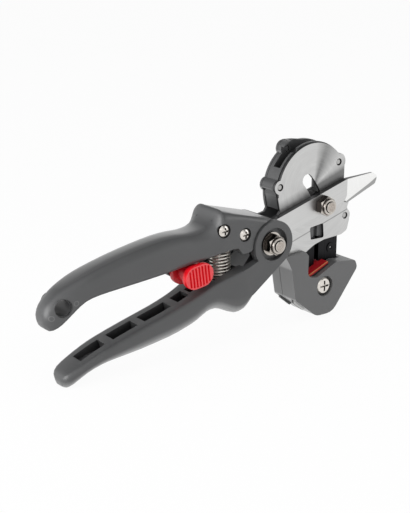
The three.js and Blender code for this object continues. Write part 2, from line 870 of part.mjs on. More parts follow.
// Hexagon across flats with its corners turned off, standing on y = 0 towards -Y.
function hexBlock(across, height, hole) {
  const corner = across / Math.sqrt(3);
  const flat = new THREE.CylinderGeometry(corner, corner, height, 6);
  flat.translate(0, -height / 2, 0);
  const chamfer = corner - across / 2;
  const barrel = turned([
    [0, -height],
    [across / 2, -height],
    [corner, -height + chamfer],
    [corner, 0],
    [0, 0],
  ], 24);
  const block = solid(flat).intersect(barrel);
  return hole > 0 ? cut(block, pin(0, 0, hole, -height - overrun, overrun)) : block;
}

// Lock nut: the hexagon and the collar that holds its insert.
function lockNut() {
  const collar = turned([
    [boltRadius + fit, -nutHeight],
    [nutAcross / 2 - nutCollar / 2, -nutHeight],
    [nutAcross / 2 - fit, -nutHeight + nutCollar / 2],
    [nutAcross / 2 - fit, -nutHex],
    [nutAcross / 2 - fit, -nutHex / 2],
    [boltRadius + fit, -nutHex / 2],
    [boltRadius + fit, -nutHeight],
  ], 24);
  return join(hexBlock(nutAcross, nutHex, boltRadius + fit), collar);
}

function bolt(near, far, head) {
  const chamfer = fit;
  const shank = turned([
    [0, near],
    [boltRadius - chamfer, near],
    [boltRadius, near + chamfer],
    [boltRadius, far + head / 2],
    [0, far + head / 2],
  ], 24);
  const block = hexBlock(nutAcross, head, 0).rotate([180, 0, 0]).translate([0, far, 0]);
  return join(shank, block);
}

// Pan-head screw with a cross recess. The head's seat is at y = 0 and the shank runs towards +Y.
function panScrew(headRadius, height, shankRadius, length) {
  const body = turned([
    [0, -height],
    [headRadius / 2, -height],
    [headRadius - height / 3, -height + height / 6],
    [headRadius, -height / 2],
    [headRadius, 0],
    [shankRadius, 0],
    [shankRadius, length - shankRadius],
    [shankRadius / 3, length],
    [0, length],
  ], 16);
  const arm = headRadius * crossArmShare;
  const depth = -height / 2;
  const across = crossWidth / 2;
  return cut(
    body,
    solid(box(-arm, arm, -height - overrun, depth, -across, across)),
    solid(box(-across, across, -height - overrun, depth, -arm, arm)),
  );
}

// Upper handle
const upperRows = [
  ...sections(upperGripShares, upperLength, hornHeight, upperHalf),
  ...sections(upperHeadShares, upperLength, hornHeight, upperHalf),
];
function upperHandle() {
  const grip = sections(upperGripShares, upperLength, hornHeight, upperHalf);
  const head = sections(upperHeadShares, upperLength, hornHeight, upperHalf);
  let body = solid(loft([...smooth(grip), ...head].map(ring)));
  const ceiling = (height) => height - roof;
  const open = () => -overrun;
  const pockets = upperPocketShares.map(([from, to]) => {
    return pocket(upperRows, 2, from * upperLength, to * upperLength, pocketHalf, open, ceiling);
  });
  const slot = prism(
    outline(grown(sized(tailShares, upperLength, hornHeight), fit)), -frameHalf - fit, frameHalf + fit,
  );
  const lug = prism(outline(sized(lugShares, upperLength, hornHeight)), -2 * upperHalf, 2 * upperHalf);
  const gap = pin(0, 0, bossRadius + headGap, -2 * upperHalf, 2 * upperHalf, 64);
  const hang = pin(
    hangingShares[0] * upperLength, hangingShares[1] * hornHeight, hangingHole,
    -2 * upperHalf, 2 * upperHalf, 32,
  );
  const well = onSpringAxis(springRadius + wellGap, springLength - overrun, springLength);
  const pegRadius = springRadius - 2 * wireRadius - pegGap;
  const peg = onSpringAxis(pegRadius, springLength - pegHeight, springLength + fit);
  const screwCuts = handleScrews.flatMap(([x, z]) => [
    pin(x, z, handleScrewRecess, -upperHalf - overrun, -upperHalf + handleScrewDepth),
    pin(x, z, handleScrewShank + fit, -upperHalf, handleScrewEnd + fit),
  ]);
  const reach = slideTravel + fit;
  const track = onSlide(box(
    -headLength / 2 - reach, headLength / 2 + fit, -headHalf - fit, headHalf + fit,
    webThickness, webThickness + headThickness + 2 * fit,
  ));
  const neckSlot = onSlide(box(
    -neckLength / 2 - reach, neckLength / 2 + fit, -neckHalf - fit, neckHalf + fit,
    -overrun, webThickness + fit,
  ));
  const rail = outline(sized(railShares, upperLength, hornHeight));
  const railNear = sliderRear + 2 * fit;
  body = join(body, prism(rail, railNear, railNear + railThickness));
  body = cut(body, ...pockets, slot, lug, gap, hang, ...screwCuts, track, neckSlot, well);
  return join(body, peg);
}

// Lower handle
const lowerRows = sections(lowerGripShares, lowerLength, lowerDrop, lowerHalf);
function cheekCorners() {
  const edge = radians(edgeAngle);
  const foot = [bossRadius * Math.sin(edge), -bossRadius * Math.cos(edge)];
  const last = lowerRows.at(-1);
  const inside = lowerRows.at(-2);
  const run = (foot[0] - last[2]) / Math.cos(edge);
  return [
    [inside[0], inside[1]],
    [last[0], last[1]],
    [-bossRadius * Math.cos(edge), -bossRadius * Math.sin(edge)],
    [0, 0],
    foot,
    [foot[0] - run * Math.cos(edge), foot[1] - run * Math.sin(edge)],
    [inside[2], inside[3] + floorWall],
  ];
}

function barTail(growth) {
  const angle = radians(tailAngle);
  const along = new THREE.Vector2(Math.cos(angle), Math.sin(angle));
  const across = new THREE.Vector2(-along.y, along.x);
  const corner = (distance, side, fillet) => {
    const point = along.clone().multiplyScalar(distance).addScaledVector(across, side);
    return [point.x, point.y, fillet];
  };
  return grown([
    corner(0, tailHalf, 0),
    corner(tailLength, tailHalf, tailHalf / 2),
    corner(tailLength, -tailHalf, tailHalf / 2),
    corner(0, -tailHalf, 0),
  ], growth);
}

const tailPinX = tailPinReach * Math.cos(radians(tailAngle));
const tailPinZ = tailPinReach * Math.sin(radians(tailAngle));
function lowerHandle() {
  const rows = lowerRows;
  let body = solid(loft(smooth(rows).map(ring)));
  const cheek = outline(cheekCorners());
  const front = [cheekFace, cheekInner];
  const rear = [rearCheekInner, -cheekFace];
  [front, rear].forEach(([near, far]) => {
    body = join(body, prism(cheek, near, far), pin(0, 0, bossRadius, near, far, 64));
  });
  const screen = outline(sized(screenShares, lowerLength, lowerDrop));
  body = join(body, prism(screen, screenNear, screenNear + screenThickness));
  const above = (height) => height + overrun;
  const floor = () => floorWall;
  const hookHalf = hookWidth / 2 + 2 * fit;
  const channel = [...lowerPocketShares, hookPocketShares].map(([from, to], i) => {
    const half = i < lowerPocketShares.length ? channelHalf : hookHalf;
    return pocket(rows, 0, from * lowerLength, to * lowerLength, half, floor, above);
  });
  const ribTop = (height) => height - ribDepth;
  const ribFoot = (height) => height - catchDepth;
  const passage = pocket(
    rows, 0, lowerPocketShares.at(-1)[0] * lowerLength, hookPocketShares[1] * lowerLength,
    hookHalf, ribFoot, ribTop,
  );
  const cavity = pin(0, 0, cavityRadius, cheekInner, rearCheekInner, 48);
  const tailSeat = prism(outline(barTail(fit)), cheekInner, barRear + fit);
  const well = onSpringAxis(springRadius + wellGap, 0, springLength);
  const hollow = prism(outline(sized(hollowShares, lowerLength, lowerDrop)), -pocketHalf, pocketHalf);
  const peg = onSpringAxis(springRadius - 2 * wireRadius - pegGap, -fit, pegHeight);
  body = cut(
    body, ...channel, passage, cavity, tailSeat, well, hollow,
    pin(0, 0, boltRadius + fit, -2 * lowerHalf, 2 * lowerHalf),
    pin(0, 0, recessRadius, cheekFace - overrun, cheekFace + recessDepth, 36),
    pin(0, 0, recessRadius, -cheekFace - recessDepth, -cheekFace + overrun, 36),
    pin(tailPinX, tailPinZ, tailPinRadius + fit, cheekInner - cheekFront / 2, coreHalf),
  );
  return join(body, peg);
}

// Knife bar: hub, tail, straight bar and the ground knife at its end.
function knifeBar() {
  const slope = radians(barSlope);
  const knife = sized(knifeShares, frameReach, frameRise);
  const corners = [
    [-barUpper * Math.sin(slope), barUpper * Math.cos(slope)],
    ...knife,
    [-barLower * Math.sin(slope), barLower * Math.cos(slope)],
  ];
  const blank = join(
    prism(outline(corners), barFront, barRear),
    prism(outline(barTail(0)), barFront, barRear),
    pin(0, 0, barHub, barFront, barRear, 40),
  );
  const root = knife[0][0];
  const tip = knife[2][0];
  const tipFace = barRear - knifeTipThickness;
  const taper = new THREE.Shape([
    new THREE.Vector2(root, barFront),
    new THREE.Vector2(root, barFront - overrun),
    new THREE.Vector2(tip + overrun, barFront - overrun),
    new THREE.Vector2(tip + overrun, tipFace),
    new THREE.Vector2(tip, tipFace),
  ]);
  const face = new THREE.ExtrudeGeometry(taper, { depth: 2 * frameReach, bevelEnabled: false });
  const edge = [knife[4], knife[3]];
  const grind = sized(grindShares, frameReach, frameRise);
  const faces = [barFront, tipFace];
  const wedge = loft(grind.map(([x, z], i) => {
    const foot = barRear - knifeTipThickness / 3;
    const share = (x - edge[0][0]) / (edge[1][0] - edge[0][0]);
    const low = THREE.MathUtils.lerp(edge[0][1], edge[1][1], share);
    return [
      new THREE.Vector3(x, faces[i], z),
      new THREE.Vector3(x, faces[i] - overrun, z),
      new THREE.Vector3(x, faces[i] - overrun, low - overrun),
      new THREE.Vector3(x, foot, low - overrun),
      new THREE.Vector3(x, foot, low),
    ];
  }));
  return cut(
    blank, solid(face), solid(wedge),
    pin(0, 0, bushRadius + fit, -2 * lowerHalf, 0),
    pin(guideX, guideZ, boltRadius + fit, -2 * lowerHalf, 0),
    pin(tailPinX, tailPinZ, tailPinRadius + fit, -2 * lowerHalf, 0),
  );
}

// Black arm between the plates, with a hub on the pivot and a lug for the guide bolt.
function bladeArm() {
  const near = -coreHalf;
  const far = near + armThickness;
  const sheet = prism(outline(sized(armShares, frameReach, frameRise)), near, far);
  const body = join(
    sheet,
    pin(0, 0, armHub, near, coreHalf, 32),
    pin(guideX, guideZ, armLug, near, armLugFace, 32),
  );
  const recess = prism(
    outline(sized(armPocketShares, frameReach, frameRise)), near - overrun, near + armPocketDepth,
  );
  return cut(
    body, recess,
    pin(0, 0, bushRadius + fit, -overrun, overrun),
    pin(guideX, guideZ, boltRadius + fit, -overrun, overrun),
    pin(bladeScrewLeft, bladeScrewZ, bladeScrewRadius + fit, near + armThickness / 2, overrun),
    pin(bladeScrewRight, bladeScrewZ, bladeScrewRadius + fit, near + armThickness / 2, overrun),
  );
}
const armLugFace = coreHalf - guideHeadHeight - fit;

// Omega blade: two flat wings and a round loop, cut along the pad.
const bladeFront = -coreHalf + armThickness + bladeGap;
const bladeRear = bladeFront + bladeThickness;
function graftBlade() {
  const low = -jawDrop;
  const sheet = solid(box(bladeLeft, bladeRight, bladeFront, bladeRear, low, bladeTop));
  const centre = bladeRear + Math.sqrt(loopRadius ** 2 - (loopMouth / 2) ** 2);
  const tube = (radius, sides) => {
    const geometry = new THREE.CylinderGeometry(radius, radius, bladeTop - low, sides);
    geometry.rotateX(Math.PI / 2);
    geometry.translate(loopX, centre, (bladeTop + low) / 2);
    return solid(geometry);
  };
  const throat = solid(box(
    loopX - loopMouth / 2, loopX + loopMouth / 2, bladeFront - overrun, centre,
    low - overrun, bladeTop + overrun,
  ));
  const inside = tube(loopRadius - bladeThickness / 2, 24);
  let blade = join(sheet, tube(loopRadius + bladeThickness / 2, 24));
  blade = join(blade, pin(wingHoleX, wingHoleZ, wingBossRadius, bladeFront - wingBossThickness, bladeFront));
  blade = cut(blade, throat, inside);
  const under = [...sized(edgeShares, jawReach, jawDrop).map(([x, z]) => [x, z + edgeClearance]),
    [jawReach, 2 * low], [0, 2 * low]];
  const shoulder = [
    [bladeTopRight, overrun + bladeTop, 0],
    [bladeTopRight, bladeShoulder + wingBossRadius, 0],
    [bladeRight, bladeShoulder, 0],
    [bladeRight + overrun, bladeShoulder, 0],
    [bladeRight + overrun, overrun + bladeTop, 0],
  ];
  return cut(
    blade,
    prism(outline(under), -overrun, overrun),
    prism(outline(shoulder), -overrun, overrun),
    pin(wingHoleX, wingHoleZ, wingHoleRadius, -overrun, overrun, 16),
    pin(bladeScrewLeft, bladeScrewZ, bladeScrewRadius + fit, -overrun, overrun),
    pin(bladeScrewRight, bladeScrewZ, bladeScrewRadius + fit, -overrun, overrun),
  );
}

// Jaw shells round the plates' limbs and the pad
function jawShell(near, far) {
  const body = prism(outline(sized(jawShares, jawReach, jawDrop)), near, far);
  const limb = outline(grown(sized(limbShares, jawReach, jawDrop), fit));
  const plateSeat = outline(grown(sized(plateShares, frameReach, frameRise), fit));
  const rear = frameHalf - plateThickness - fit;
  const front = frameHalf + fit;
  const padSeat = outline(grown(sized(padShares, jawReach, jawDrop), fit));
  return cut(
    body,
    ...[limb, plateSeat].flatMap((seat) => [prism(seat, -front, -rear), prism(seat, rear, front)]),
    prism(padSeat, -padHalf - fit, padHalf + fit),
    prism(
      outline(sized(bladeSlotShares, jawReach, jawDrop)), bladeFront - wingBossThickness - fit, partingPlace,
    ),
    pin(jawScrewX, jawScrewZ, jawScrewRecess, -jawHalf - overrun, -jawHalf + jawRecessDepth, 32),
    pin(jawScrewX, jawScrewZ, jawScrewShank + fit, -jawHalf, jawScrewEnd + fit),
  );
}

function anvilPad() {
  return prism(outline(sized(padShares, jawReach, jawDrop)), -padHalf, padHalf);
}

// Lock slider in its own frame: x along the slide, z = 0 on the handle's underside.
function stadium(length, height, top) {
  const radius = height / 2;
  return outline([
    [-length / 2, top, radius],
    [length / 2, top, radius],
    [length / 2, top - height, radius],
    [-length / 2, top - height, radius],
  ]);
}

function lockSlider() {
  const padTop = -padGap;
  const pad = (near, far) => prism(stadium(padLength, padHeight, padTop), near, far, padRim / 3);
  const bodyTop = padTop - (padHeight - sliderBodyHeight) / 2;
  const core = prism(stadium(sliderBody, sliderBodyHeight, bodyTop), -padFace + fit, sliderRear - fit);
  const neckTop = webThickness + 2 * fit;
  const neck = solid(box(-neckLength / 2, neckLength / 2, -neckHalf, neckHalf, -padHeight / 2, neckTop));
  const headFoot = webThickness + fit;
  const head = solid(box(
    -headLength / 2, headLength / 2, -headHalf, headHalf, headFoot, headFoot + headThickness,
  ));
  const clawFoot = -clawDrop - clawThickness;
  const stem = solid(box(
    stemPlace, stemPlace + stemThickness, -hookWidth / 2, hookWidth / 2, clawFoot, -padHeight / 2,
  ));
  const claw = solid(box(
    stemPlace - clawLength, stemPlace + fit, -hookWidth / 2, hookWidth / 2, clawFoot, -clawDrop,
  ));
  const whole = join(
    pad(-padFace, -padFace + padThickness), pad(sliderRear - padThickness, sliderRear),
    core, neck, head, stem, claw,
  );
  const pitch = (padLength - padHeight / 3) / grooveCount;
  const grooves = [];
  for (let k = 0; k < grooveCount; k++) {
    const x = (k - (grooveCount - 1) / 2) * pitch;
    const share = Math.abs(x) / (padLength / 2);
    const half = (padHeight / 2) * Math.sqrt(1 - share ** 3) - padRim;
    const middle = padTop - padHeight / 2;
    grooves.push(solid(box(
      x - grooveWidth / 2, x + grooveWidth / 2, -padFace - overrun, -padFace + grooveDepth,
      middle - half, middle + half,
    )));
  }
  return cut(whole, ...grooves);
}

// Return spring: one wire of eight steps to a turn and five sides.
const stepsPerTurn = 8;
const wireSides = 5;
function returnSpring() {
  const first = fit + wireRadius;
  const rise = springLength - 2 * first;
  const count = springTurns * stepsPerTurn;
  const sideways = new THREE.Vector3(springAxis.z, 0, -springAxis.x);
  const across = new THREE.Vector3(0, 1, 0);
  const centreRadius = springRadius - wireRadius;
  const loops = [];
  for (let i = 0; i <= count; i++) {
    const angle = (2 * Math.PI * i) / stepsPerTurn;
    const outwards = sideways.clone().multiplyScalar(Math.cos(angle));
    outwards.addScaledVector(across, Math.sin(angle));
    const centre = springFoot.clone().addScaledVector(springAxis, first + (rise * i) / count);
    centre.addScaledVector(outwards, centreRadius);
    const loop = [];
    for (let j = 0; j < wireSides; j++) {
      const turn = (2 * Math.PI * j) / wireSides;
      const point = centre.clone().addScaledVector(outwards, wireRadius * Math.cos(turn));
      loop.push(point.addScaledVector(springAxis, -wireRadius * Math.sin(turn)));
    }
    loops.push(loop);
  }
  printSpringGap(loops);
  return solid(loft(loops));
}

// The least distance between points of different turns.
function printSpringGap(loops) {
  let least = Infinity;
  for (let i = 0; i < loops.length; i++) {
    for (let k = i + stepsPerTurn / 2; k < loops.length; k++) {
      loops[i].forEach((a) => loops[k].forEach((b) => {
        least = Math.min(least, a.distanceTo(b));
      }));
    }
  }
  console.log("spring's least gap to itself " + least.toFixed(2) + " mm");
}

// Assembly: the upper member stays, the lower member turns about the pivot.
const tool = new THREE.Group();
const upperMember = new THREE.Group();
const lowerMember = new THREE.Group();
tool.add(upperMember, lowerMember);

function put(group, piece, x = 0, y = 0, z = 0) {
  piece.position.set(x, y, z);
  group.add(piece);
  return piece;
}

put(upperMember, mesh("upper_handle", upperHandle(), plastic));
put(upperMember, mesh("frame_plate_front", frontPlate(), steel));
put(upperMember, mesh("frame_plate_rear", rearPlate(), steel));
put(upperMember, mesh("frame_core", frameCore(), plastic));
put(upperMember, mesh("tail_spacer", tailSpacer(), blackPlastic));
const rivetEnd = frameHalf - rivetSunk;
put(upperMember, mesh("ear_rivet_left", rivet(-rivetEnd, rivetEnd), steel), leftEar[0], 0, leftEar[1]);
put(upperMember, mesh("ear_rivet_right", rivet(-rivetEnd, rivetEnd), steel), rightEar[0], 0, rightEar[1]);
put(upperMember, mesh("ear_rivet_top", rivet(rimPocketFar + fit, rivetEnd), steel), topEar[0], 0, topEar[1]);
const studEnd = bladeFront - wingBossThickness - fit;
put(upperMember, mesh("blade_guide_stud", rivet(-rivetEnd, studEnd), steel), lowerEar[0], 0, lowerEar[1]);
const screwSeat = -upperHalf + handleScrewDepth - fit;
["handle_screw_rear", "handle_screw_front"].forEach((name, i) => {
  const shape = panScrew(handleScrewHead, panHeight, handleScrewShank, handleScrewEnd - screwSeat);
  put(upperMember, mesh(name, shape, nickel), handleScrews[i][0], screwSeat, handleScrews[i][1]);
});
put(upperMember, mesh("jaw_shell_front", jawShell(-jawHalf, partingPlace - fit / 2), plastic));
put(upperMember, mesh("jaw_shell_rear", jawShell(partingPlace + fit / 2, jawHalf), plastic));
put(upperMember, mesh("anvil_pad", anvilPad(), padRed));
const jawSeat = -jawHalf + jawRecessDepth - fit;
const jawScrew = panScrew(jawScrewHead, panHeight, jawScrewShank, jawScrewEnd - jawSeat);
put(upperMember, mesh("jaw_screw", jawScrew, nickel), jawScrewX, jawSeat, jawScrewZ);

put(lowerMember, mesh("lower_handle", lowerHandle(), plastic));
put(lowerMember, mesh("knife_bar", knifeBar(), steel));
const bushEnd = rearCheekInner - fit;
const bush = cut(
  pin(0, 0, bushRadius, cheekInner + fit, bushEnd, 32),
  pin(0, 0, boltRadius + fit, -2 * lowerHalf, overrun),
);
put(lowerMember, mesh("pivot_bush", bush, steel));
const pivotSeat = cheekFace + recessDepth - fit;
const washer = cut(
  pin(0, 0, washerRadius, -washerThickness, 0, 32),
  pin(0, 0, boltRadius + fit, -overrun, overrun),
);
put(lowerMember, mesh("pivot_washer", washer, nickel), 0, pivotSeat, 0);
const nutSeat = pivotSeat - washerThickness - fit;
put(lowerMember, mesh("pivot_nut", lockNut(), nickel), 0, nutSeat, 0);
const pivotHead = -cheekFace - recessDepth + fit;
put(lowerMember, mesh("pivot_bolt", bolt(nutSeat - nutHeight - boltTail, pivotHead, headHeight), nickel));
const guideNutSeat = barFront - fit;
const guideEnd = guideNutSeat - nutHeight - boltTail;
put(lowerMember, mesh("guide_nut", lockNut(), nickel), guideX, guideNutSeat, guideZ);
const guideBolt = bolt(guideEnd, armLugFace + fit, guideHeadHeight - fit);
put(lowerMember, mesh("guide_bolt", guideBolt, nickel), guideX, 0, guideZ);
put(lowerMember, mesh("blade_arm", bladeArm(), blackPlastic));
put(lowerMember, mesh("graft_blade", graftBlade(), blackSteel));
[["blade_screw_left", bladeScrewLeft], ["blade_screw_right", bladeScrewRight]].forEach(([name, x]) => {
  const reach = bladeRear + fit + coreHalf - armThickness / 2 - fit;
  const shape = panScrew(bladeScrewHead, bladeScrewHeight, bladeScrewRadius, reach).rotate([180, 0, 0]);
  put(lowerMember, mesh(name, shape, nickel), x, bladeRear + fit, bladeScrewZ);
});
const pinNear = cheekInner - cheekFront / 2 + fit;
put(lowerMember, mesh("bar_pin", pin(tailPinX, tailPinZ, tailPinRadius, pinNear, coreHalf - fit), steel));

const slider = put(tool, mesh("lock_slider", lockSlider(), redPlastic), slideX, 0, slideZ);
slider.rotation.y = -radians(slideAngle);
put(tool, mesh("return_spring", returnSpring(), springWire));

// The origin is the middle of the bounding box's underside.
const bounds = new THREE.Box3().setFromObject(tool, true);
const centre = bounds.getCenter(new THREE.Vector3());
tool.position.set(-centre.x, -centre.y, -bounds.min.z);
console.log("pivot at " + tool.position.toArray().map((value) => value.toFixed(3)).join(" "));
const extent = bounds.getSize(new THREE.Vector3()).toArray();
console.log("size " + extent.map((value) => value.toFixed(2)).join(" "));

const part = new THREE.Group();
part.add(tool);
export default part;
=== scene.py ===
"""Grafting pruner, nearly closed, seen from the front left and a little from above."""

import math

import bmesh
import bpy
from mathutils import Matrix, Vector


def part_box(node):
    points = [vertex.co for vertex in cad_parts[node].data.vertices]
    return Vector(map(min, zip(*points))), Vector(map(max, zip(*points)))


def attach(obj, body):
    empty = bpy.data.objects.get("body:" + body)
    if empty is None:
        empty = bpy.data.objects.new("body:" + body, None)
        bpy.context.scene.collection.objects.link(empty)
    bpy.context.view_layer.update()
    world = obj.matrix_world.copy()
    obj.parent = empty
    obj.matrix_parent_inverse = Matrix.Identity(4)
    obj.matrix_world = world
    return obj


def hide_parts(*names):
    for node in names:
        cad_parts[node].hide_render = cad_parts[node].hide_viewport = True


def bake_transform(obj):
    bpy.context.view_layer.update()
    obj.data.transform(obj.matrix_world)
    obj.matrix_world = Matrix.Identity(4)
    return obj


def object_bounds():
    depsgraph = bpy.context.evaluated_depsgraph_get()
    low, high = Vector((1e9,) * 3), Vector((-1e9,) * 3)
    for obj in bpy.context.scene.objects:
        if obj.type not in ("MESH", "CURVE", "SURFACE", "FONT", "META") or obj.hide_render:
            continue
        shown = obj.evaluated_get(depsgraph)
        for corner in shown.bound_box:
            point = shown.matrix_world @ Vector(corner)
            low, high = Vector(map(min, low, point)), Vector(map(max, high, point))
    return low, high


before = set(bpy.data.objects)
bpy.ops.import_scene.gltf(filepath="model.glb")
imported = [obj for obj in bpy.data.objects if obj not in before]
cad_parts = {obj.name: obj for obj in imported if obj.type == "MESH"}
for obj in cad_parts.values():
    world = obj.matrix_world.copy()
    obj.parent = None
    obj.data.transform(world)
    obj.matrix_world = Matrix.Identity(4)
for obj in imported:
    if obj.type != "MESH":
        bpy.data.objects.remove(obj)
packed_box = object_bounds()

# Frame plates: two stampings of 1.5 mm stainless sheet with a half disc, a window and a leg down to the
# jaw. They are brushed in circles about the middle of the disc, and their edges are broken by tumbling.


class Field:
    """A value that changes over a surface. An expression on fields adds the nodes that work it out."""

    def __init__(self, socket):
        self.socket = socket

    def combined(self, operation, first, second, clamp=False):
        tree = self.socket.id_data
        node = tree.nodes.new("ShaderNodeMath")
        node.operation = operation
        node.use_clamp = clamp
        for place, value in enumerate((first, second)):
            if isinstance(value, Field):
                tree.links.new(value.socket, node.inputs[place])
            else:
                node.inputs[place].default_value = value
        return Field(node.outputs[0])

    def __add__(self, other):
        return self.combined("ADD", self, other)

    def __radd__(self, other):
        return self.combined("ADD", other, self)

    def __sub__(self, other):
        return self.combined("SUBTRACT", self, other)

    def __rsub__(self, other):
        return self.combined("SUBTRACT", other, self)

    def __mul__(self, other):
        return self.combined("MULTIPLY", self, other)

    def size(self):
        """The same value without its sign."""
        return self.combined("ABSOLUTE", self, 0.0)

    def held(self):
        """The same value, held between nought and one."""
        return self.combined("ADD", self, 0.0, clamp=True)

    def above(self, start, width):
        """A mask that goes from nought at start to one at start + width."""
        return ((self - start) * (1 / width)).held()

    def below(self, start, width):
        """A mask that goes from one at start to nought at start + width."""
        return 1 - self.above(start, width)


class Nodes:
    """A node tree under way: node() adds one node, with its settings first and its sockets after them."""

    def __init__(self, tree):
        self.tree = tree

    def feed(self, socket, value):
        if isinstance(value, Field):
            self.tree.links.new(value.socket, socket)
        else:
            socket.default_value = value

    def node(self, kind, settings=None, sockets=None, output=0):
        made = self.tree.nodes.new(kind)
        for name, value in (settings or {}).items():
            setattr(made, name, value)
        for key, value in (sockets or {}).items():
            self.feed(made.inputs[key], value)
        return Field(made.outputs[output])

    def along(self, spot):
        """The three distances of a spot along its axes."""
        parted = self.node("ShaderNodeSeparateXYZ", None, {0: spot}).socket.node
        return [Field(socket) for socket in parted.outputs]


class Finish(Nodes):
    """A material under way: wear() sets or links one of the shader's sockets."""

    def __init__(self, name, **constants):
        self.material = bpy.data.materials.new(name)
        self.material.use_nodes = True
        super().__init__(self.material.node_tree)
        self.shader = self.tree.nodes["Principled BSDF"]
        for socket, value in constants.items():
            self.wear(socket.replace("_", " ").title().replace("Ior", "IOR"), value)

    def wear(self, socket, value):
        self.feed(self.shader.inputs[socket], value)

    def spot(self, centre=(0, 0, 0), turn=(0, 0, 0), stretch=(1, 1, 1)):
        """Where a point of the surface lies, from a centre, along turned axes, in units of the stretch."""
        here = self.node("ShaderNodeTexCoord", output=3)
        return self.node(
            "ShaderNodeMapping",
            {"vector_type": "TEXTURE"},
            {"Vector": here, "Location": centre, "Rotation": turn, "Scale": stretch},
        )

    def speckle(self, spot, scale, detail=2.0, roughness=0.5):
        return self.node(
            "ShaderNodeTexNoise",
            None,
            {"Vector": spot, "Scale": scale, "Detail": detail, "Roughness": roughness},
        )

    def facing(self):
        """How squarely the surface faces along each of the part's axes."""
        return self.along(self.node("ShaderNodeTexCoord", output=1))

    def reach(self, spot):
        """How far a spot is from its centre."""
        return self.node("ShaderNodeVectorMath", {"operation": "LENGTH"}, {0: spot}, output=1)

    def point(self, x, y=0.0, z=0.0):
        return self.node("ShaderNodeCombineXYZ", None, {0: x, 1: y, 2: z})

    def tint(self, share, first, second):
        """From the first colour to the second."""
        return self.node("ShaderNodeMix", {"data_type": "RGBA"}, {0: share, 6: first, 7: second}, output=2)

    def relief(self, height, strength, depth):
        bump = {"Height": height, "Strength": strength, "Distance": depth}
        self.wear("Normal", self.node("ShaderNodeBump", None, bump))


def shared_corners(node):
    """A CAD node's mesh as a bmesh with its corners shared."""
    shape = bmesh.new()
    shape.from_mesh(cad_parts[node].data)
    bmesh.ops.remove_doubles(shape, verts=shape.verts, dist=2e-6)
    return shape


def flat_faces_whole(shape):
    """Joins the triangles of each flat face, so that a bevel runs cleanly along its rim."""
    bmesh.ops.dissolve_limit(shape, angle_limit=math.radians(0.6), verts=shape.verts, edges=shape.edges)
    return shape


def finished(shape, name, finish, body, slot, *nodes, crease=32):
    """A bmesh made a piece: round faces shade smoothly, creases stay crisp, and it rides its body."""
    for face in shape.faces:
        face.smooth = True
    for edge in shape.edges:
        edge.smooth = len(edge.link_faces) == 2 and edge.calc_face_angle() < math.radians(crease)
    mesh = bpy.data.meshes.new(name)
    shape.to_mesh(mesh)
    shape.free()
    mesh.materials.append(finish.material)
    piece = bpy.data.objects.new(name, mesh)
    bpy.context.scene.collection.objects.link(piece)
    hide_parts(*nodes)
    if body:
        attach(piece, body)
    return piece


def broken_edges(piece, width):
    """Rounds a piece's creases by a small width and keeps its flat faces flat."""
    bevel = piece.modifiers.new("broken_edges", "BEVEL")
    bevel.width = width
    bevel.segments = 2
    bevel.limit_method = "ANGLE"
    bevel.angle_limit = math.radians(40)
    bevel.harden_normals = True


bolt_low, bolt_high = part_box("pivot_bolt")
hinge = (bolt_low + bolt_high) / 2
hinge.y = (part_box("upper_handle")[0].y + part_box("upper_handle")[1].y) / 2
disc_middle = hinge + Vector((0.0344, 0, 0.0239))
bar_turn = math.radians(16.2)
plate_edge_round = 0.00016
# A stretch that leaves the depth out, for rings about an axis across the tool.
no_depth = (1, 1e3, 1)
# Grain of the rings per metre outwards and per radian round.
ring_grain, broad_ring_grain = (5200, 2.2), (420, 1.1)
brushed_relief = 0.00004
# Starts and widths of the masks: the fans by bearing, their fade by radius, the rest in metres or by facing.
fan_in, fan_out, fan_fade = (0.62, 0.5), (1.2, 0.3), (0.012, 0.03)
low_fan_in, low_fan_out = (-0.4, 0.2), (0.2, 0.42)
shade_in, shade_out = (0.0085, 0.0005), (0.0115, 0.005)
contact_shadow_place, contact_shadow_width = 0.0096, (0.00015, 0.0003)
inside_handle = (-0.0062, 0.0006)
edge_facing = (0.55, 0.35)
fan_dark, low_fan_dark, shade_dark, contact_shadow_dark = 0.62, 0.55, 0.55, 0.5
ring_dark, ring_light = (0.2, 0.2, 0.199, 1), (0.74, 0.74, 0.733, 1)
painted_shade_grey = (0.1, 0.1, 0.102, 1)

plate_steel = Finish("plate_steel", metallic=1.0, ior=2.4)
across = plate_steel.spot(disc_middle, stretch=no_depth)
radius = plate_steel.reach(across)
aside, _, upwards = plate_steel.along(across)
bearing = plate_steel.node("ShaderNodeMath", {"operation": "ARCTAN2"}, {0: upwards, 1: aside})
ring_place = plate_steel.point(radius * ring_grain[0], bearing * ring_grain[1])
broad_place = plate_steel.point(radius * broad_ring_grain[0], bearing * broad_ring_grain[1], 3.0)
ring_lines = plate_steel.speckle(ring_place, 1.0, 3.0, 0.62)
broad_rings = plate_steel.speckle(broad_place, 1.0, 2.0)
smudges = plate_steel.speckle(plate_steel.spot(), 70, 3.0)
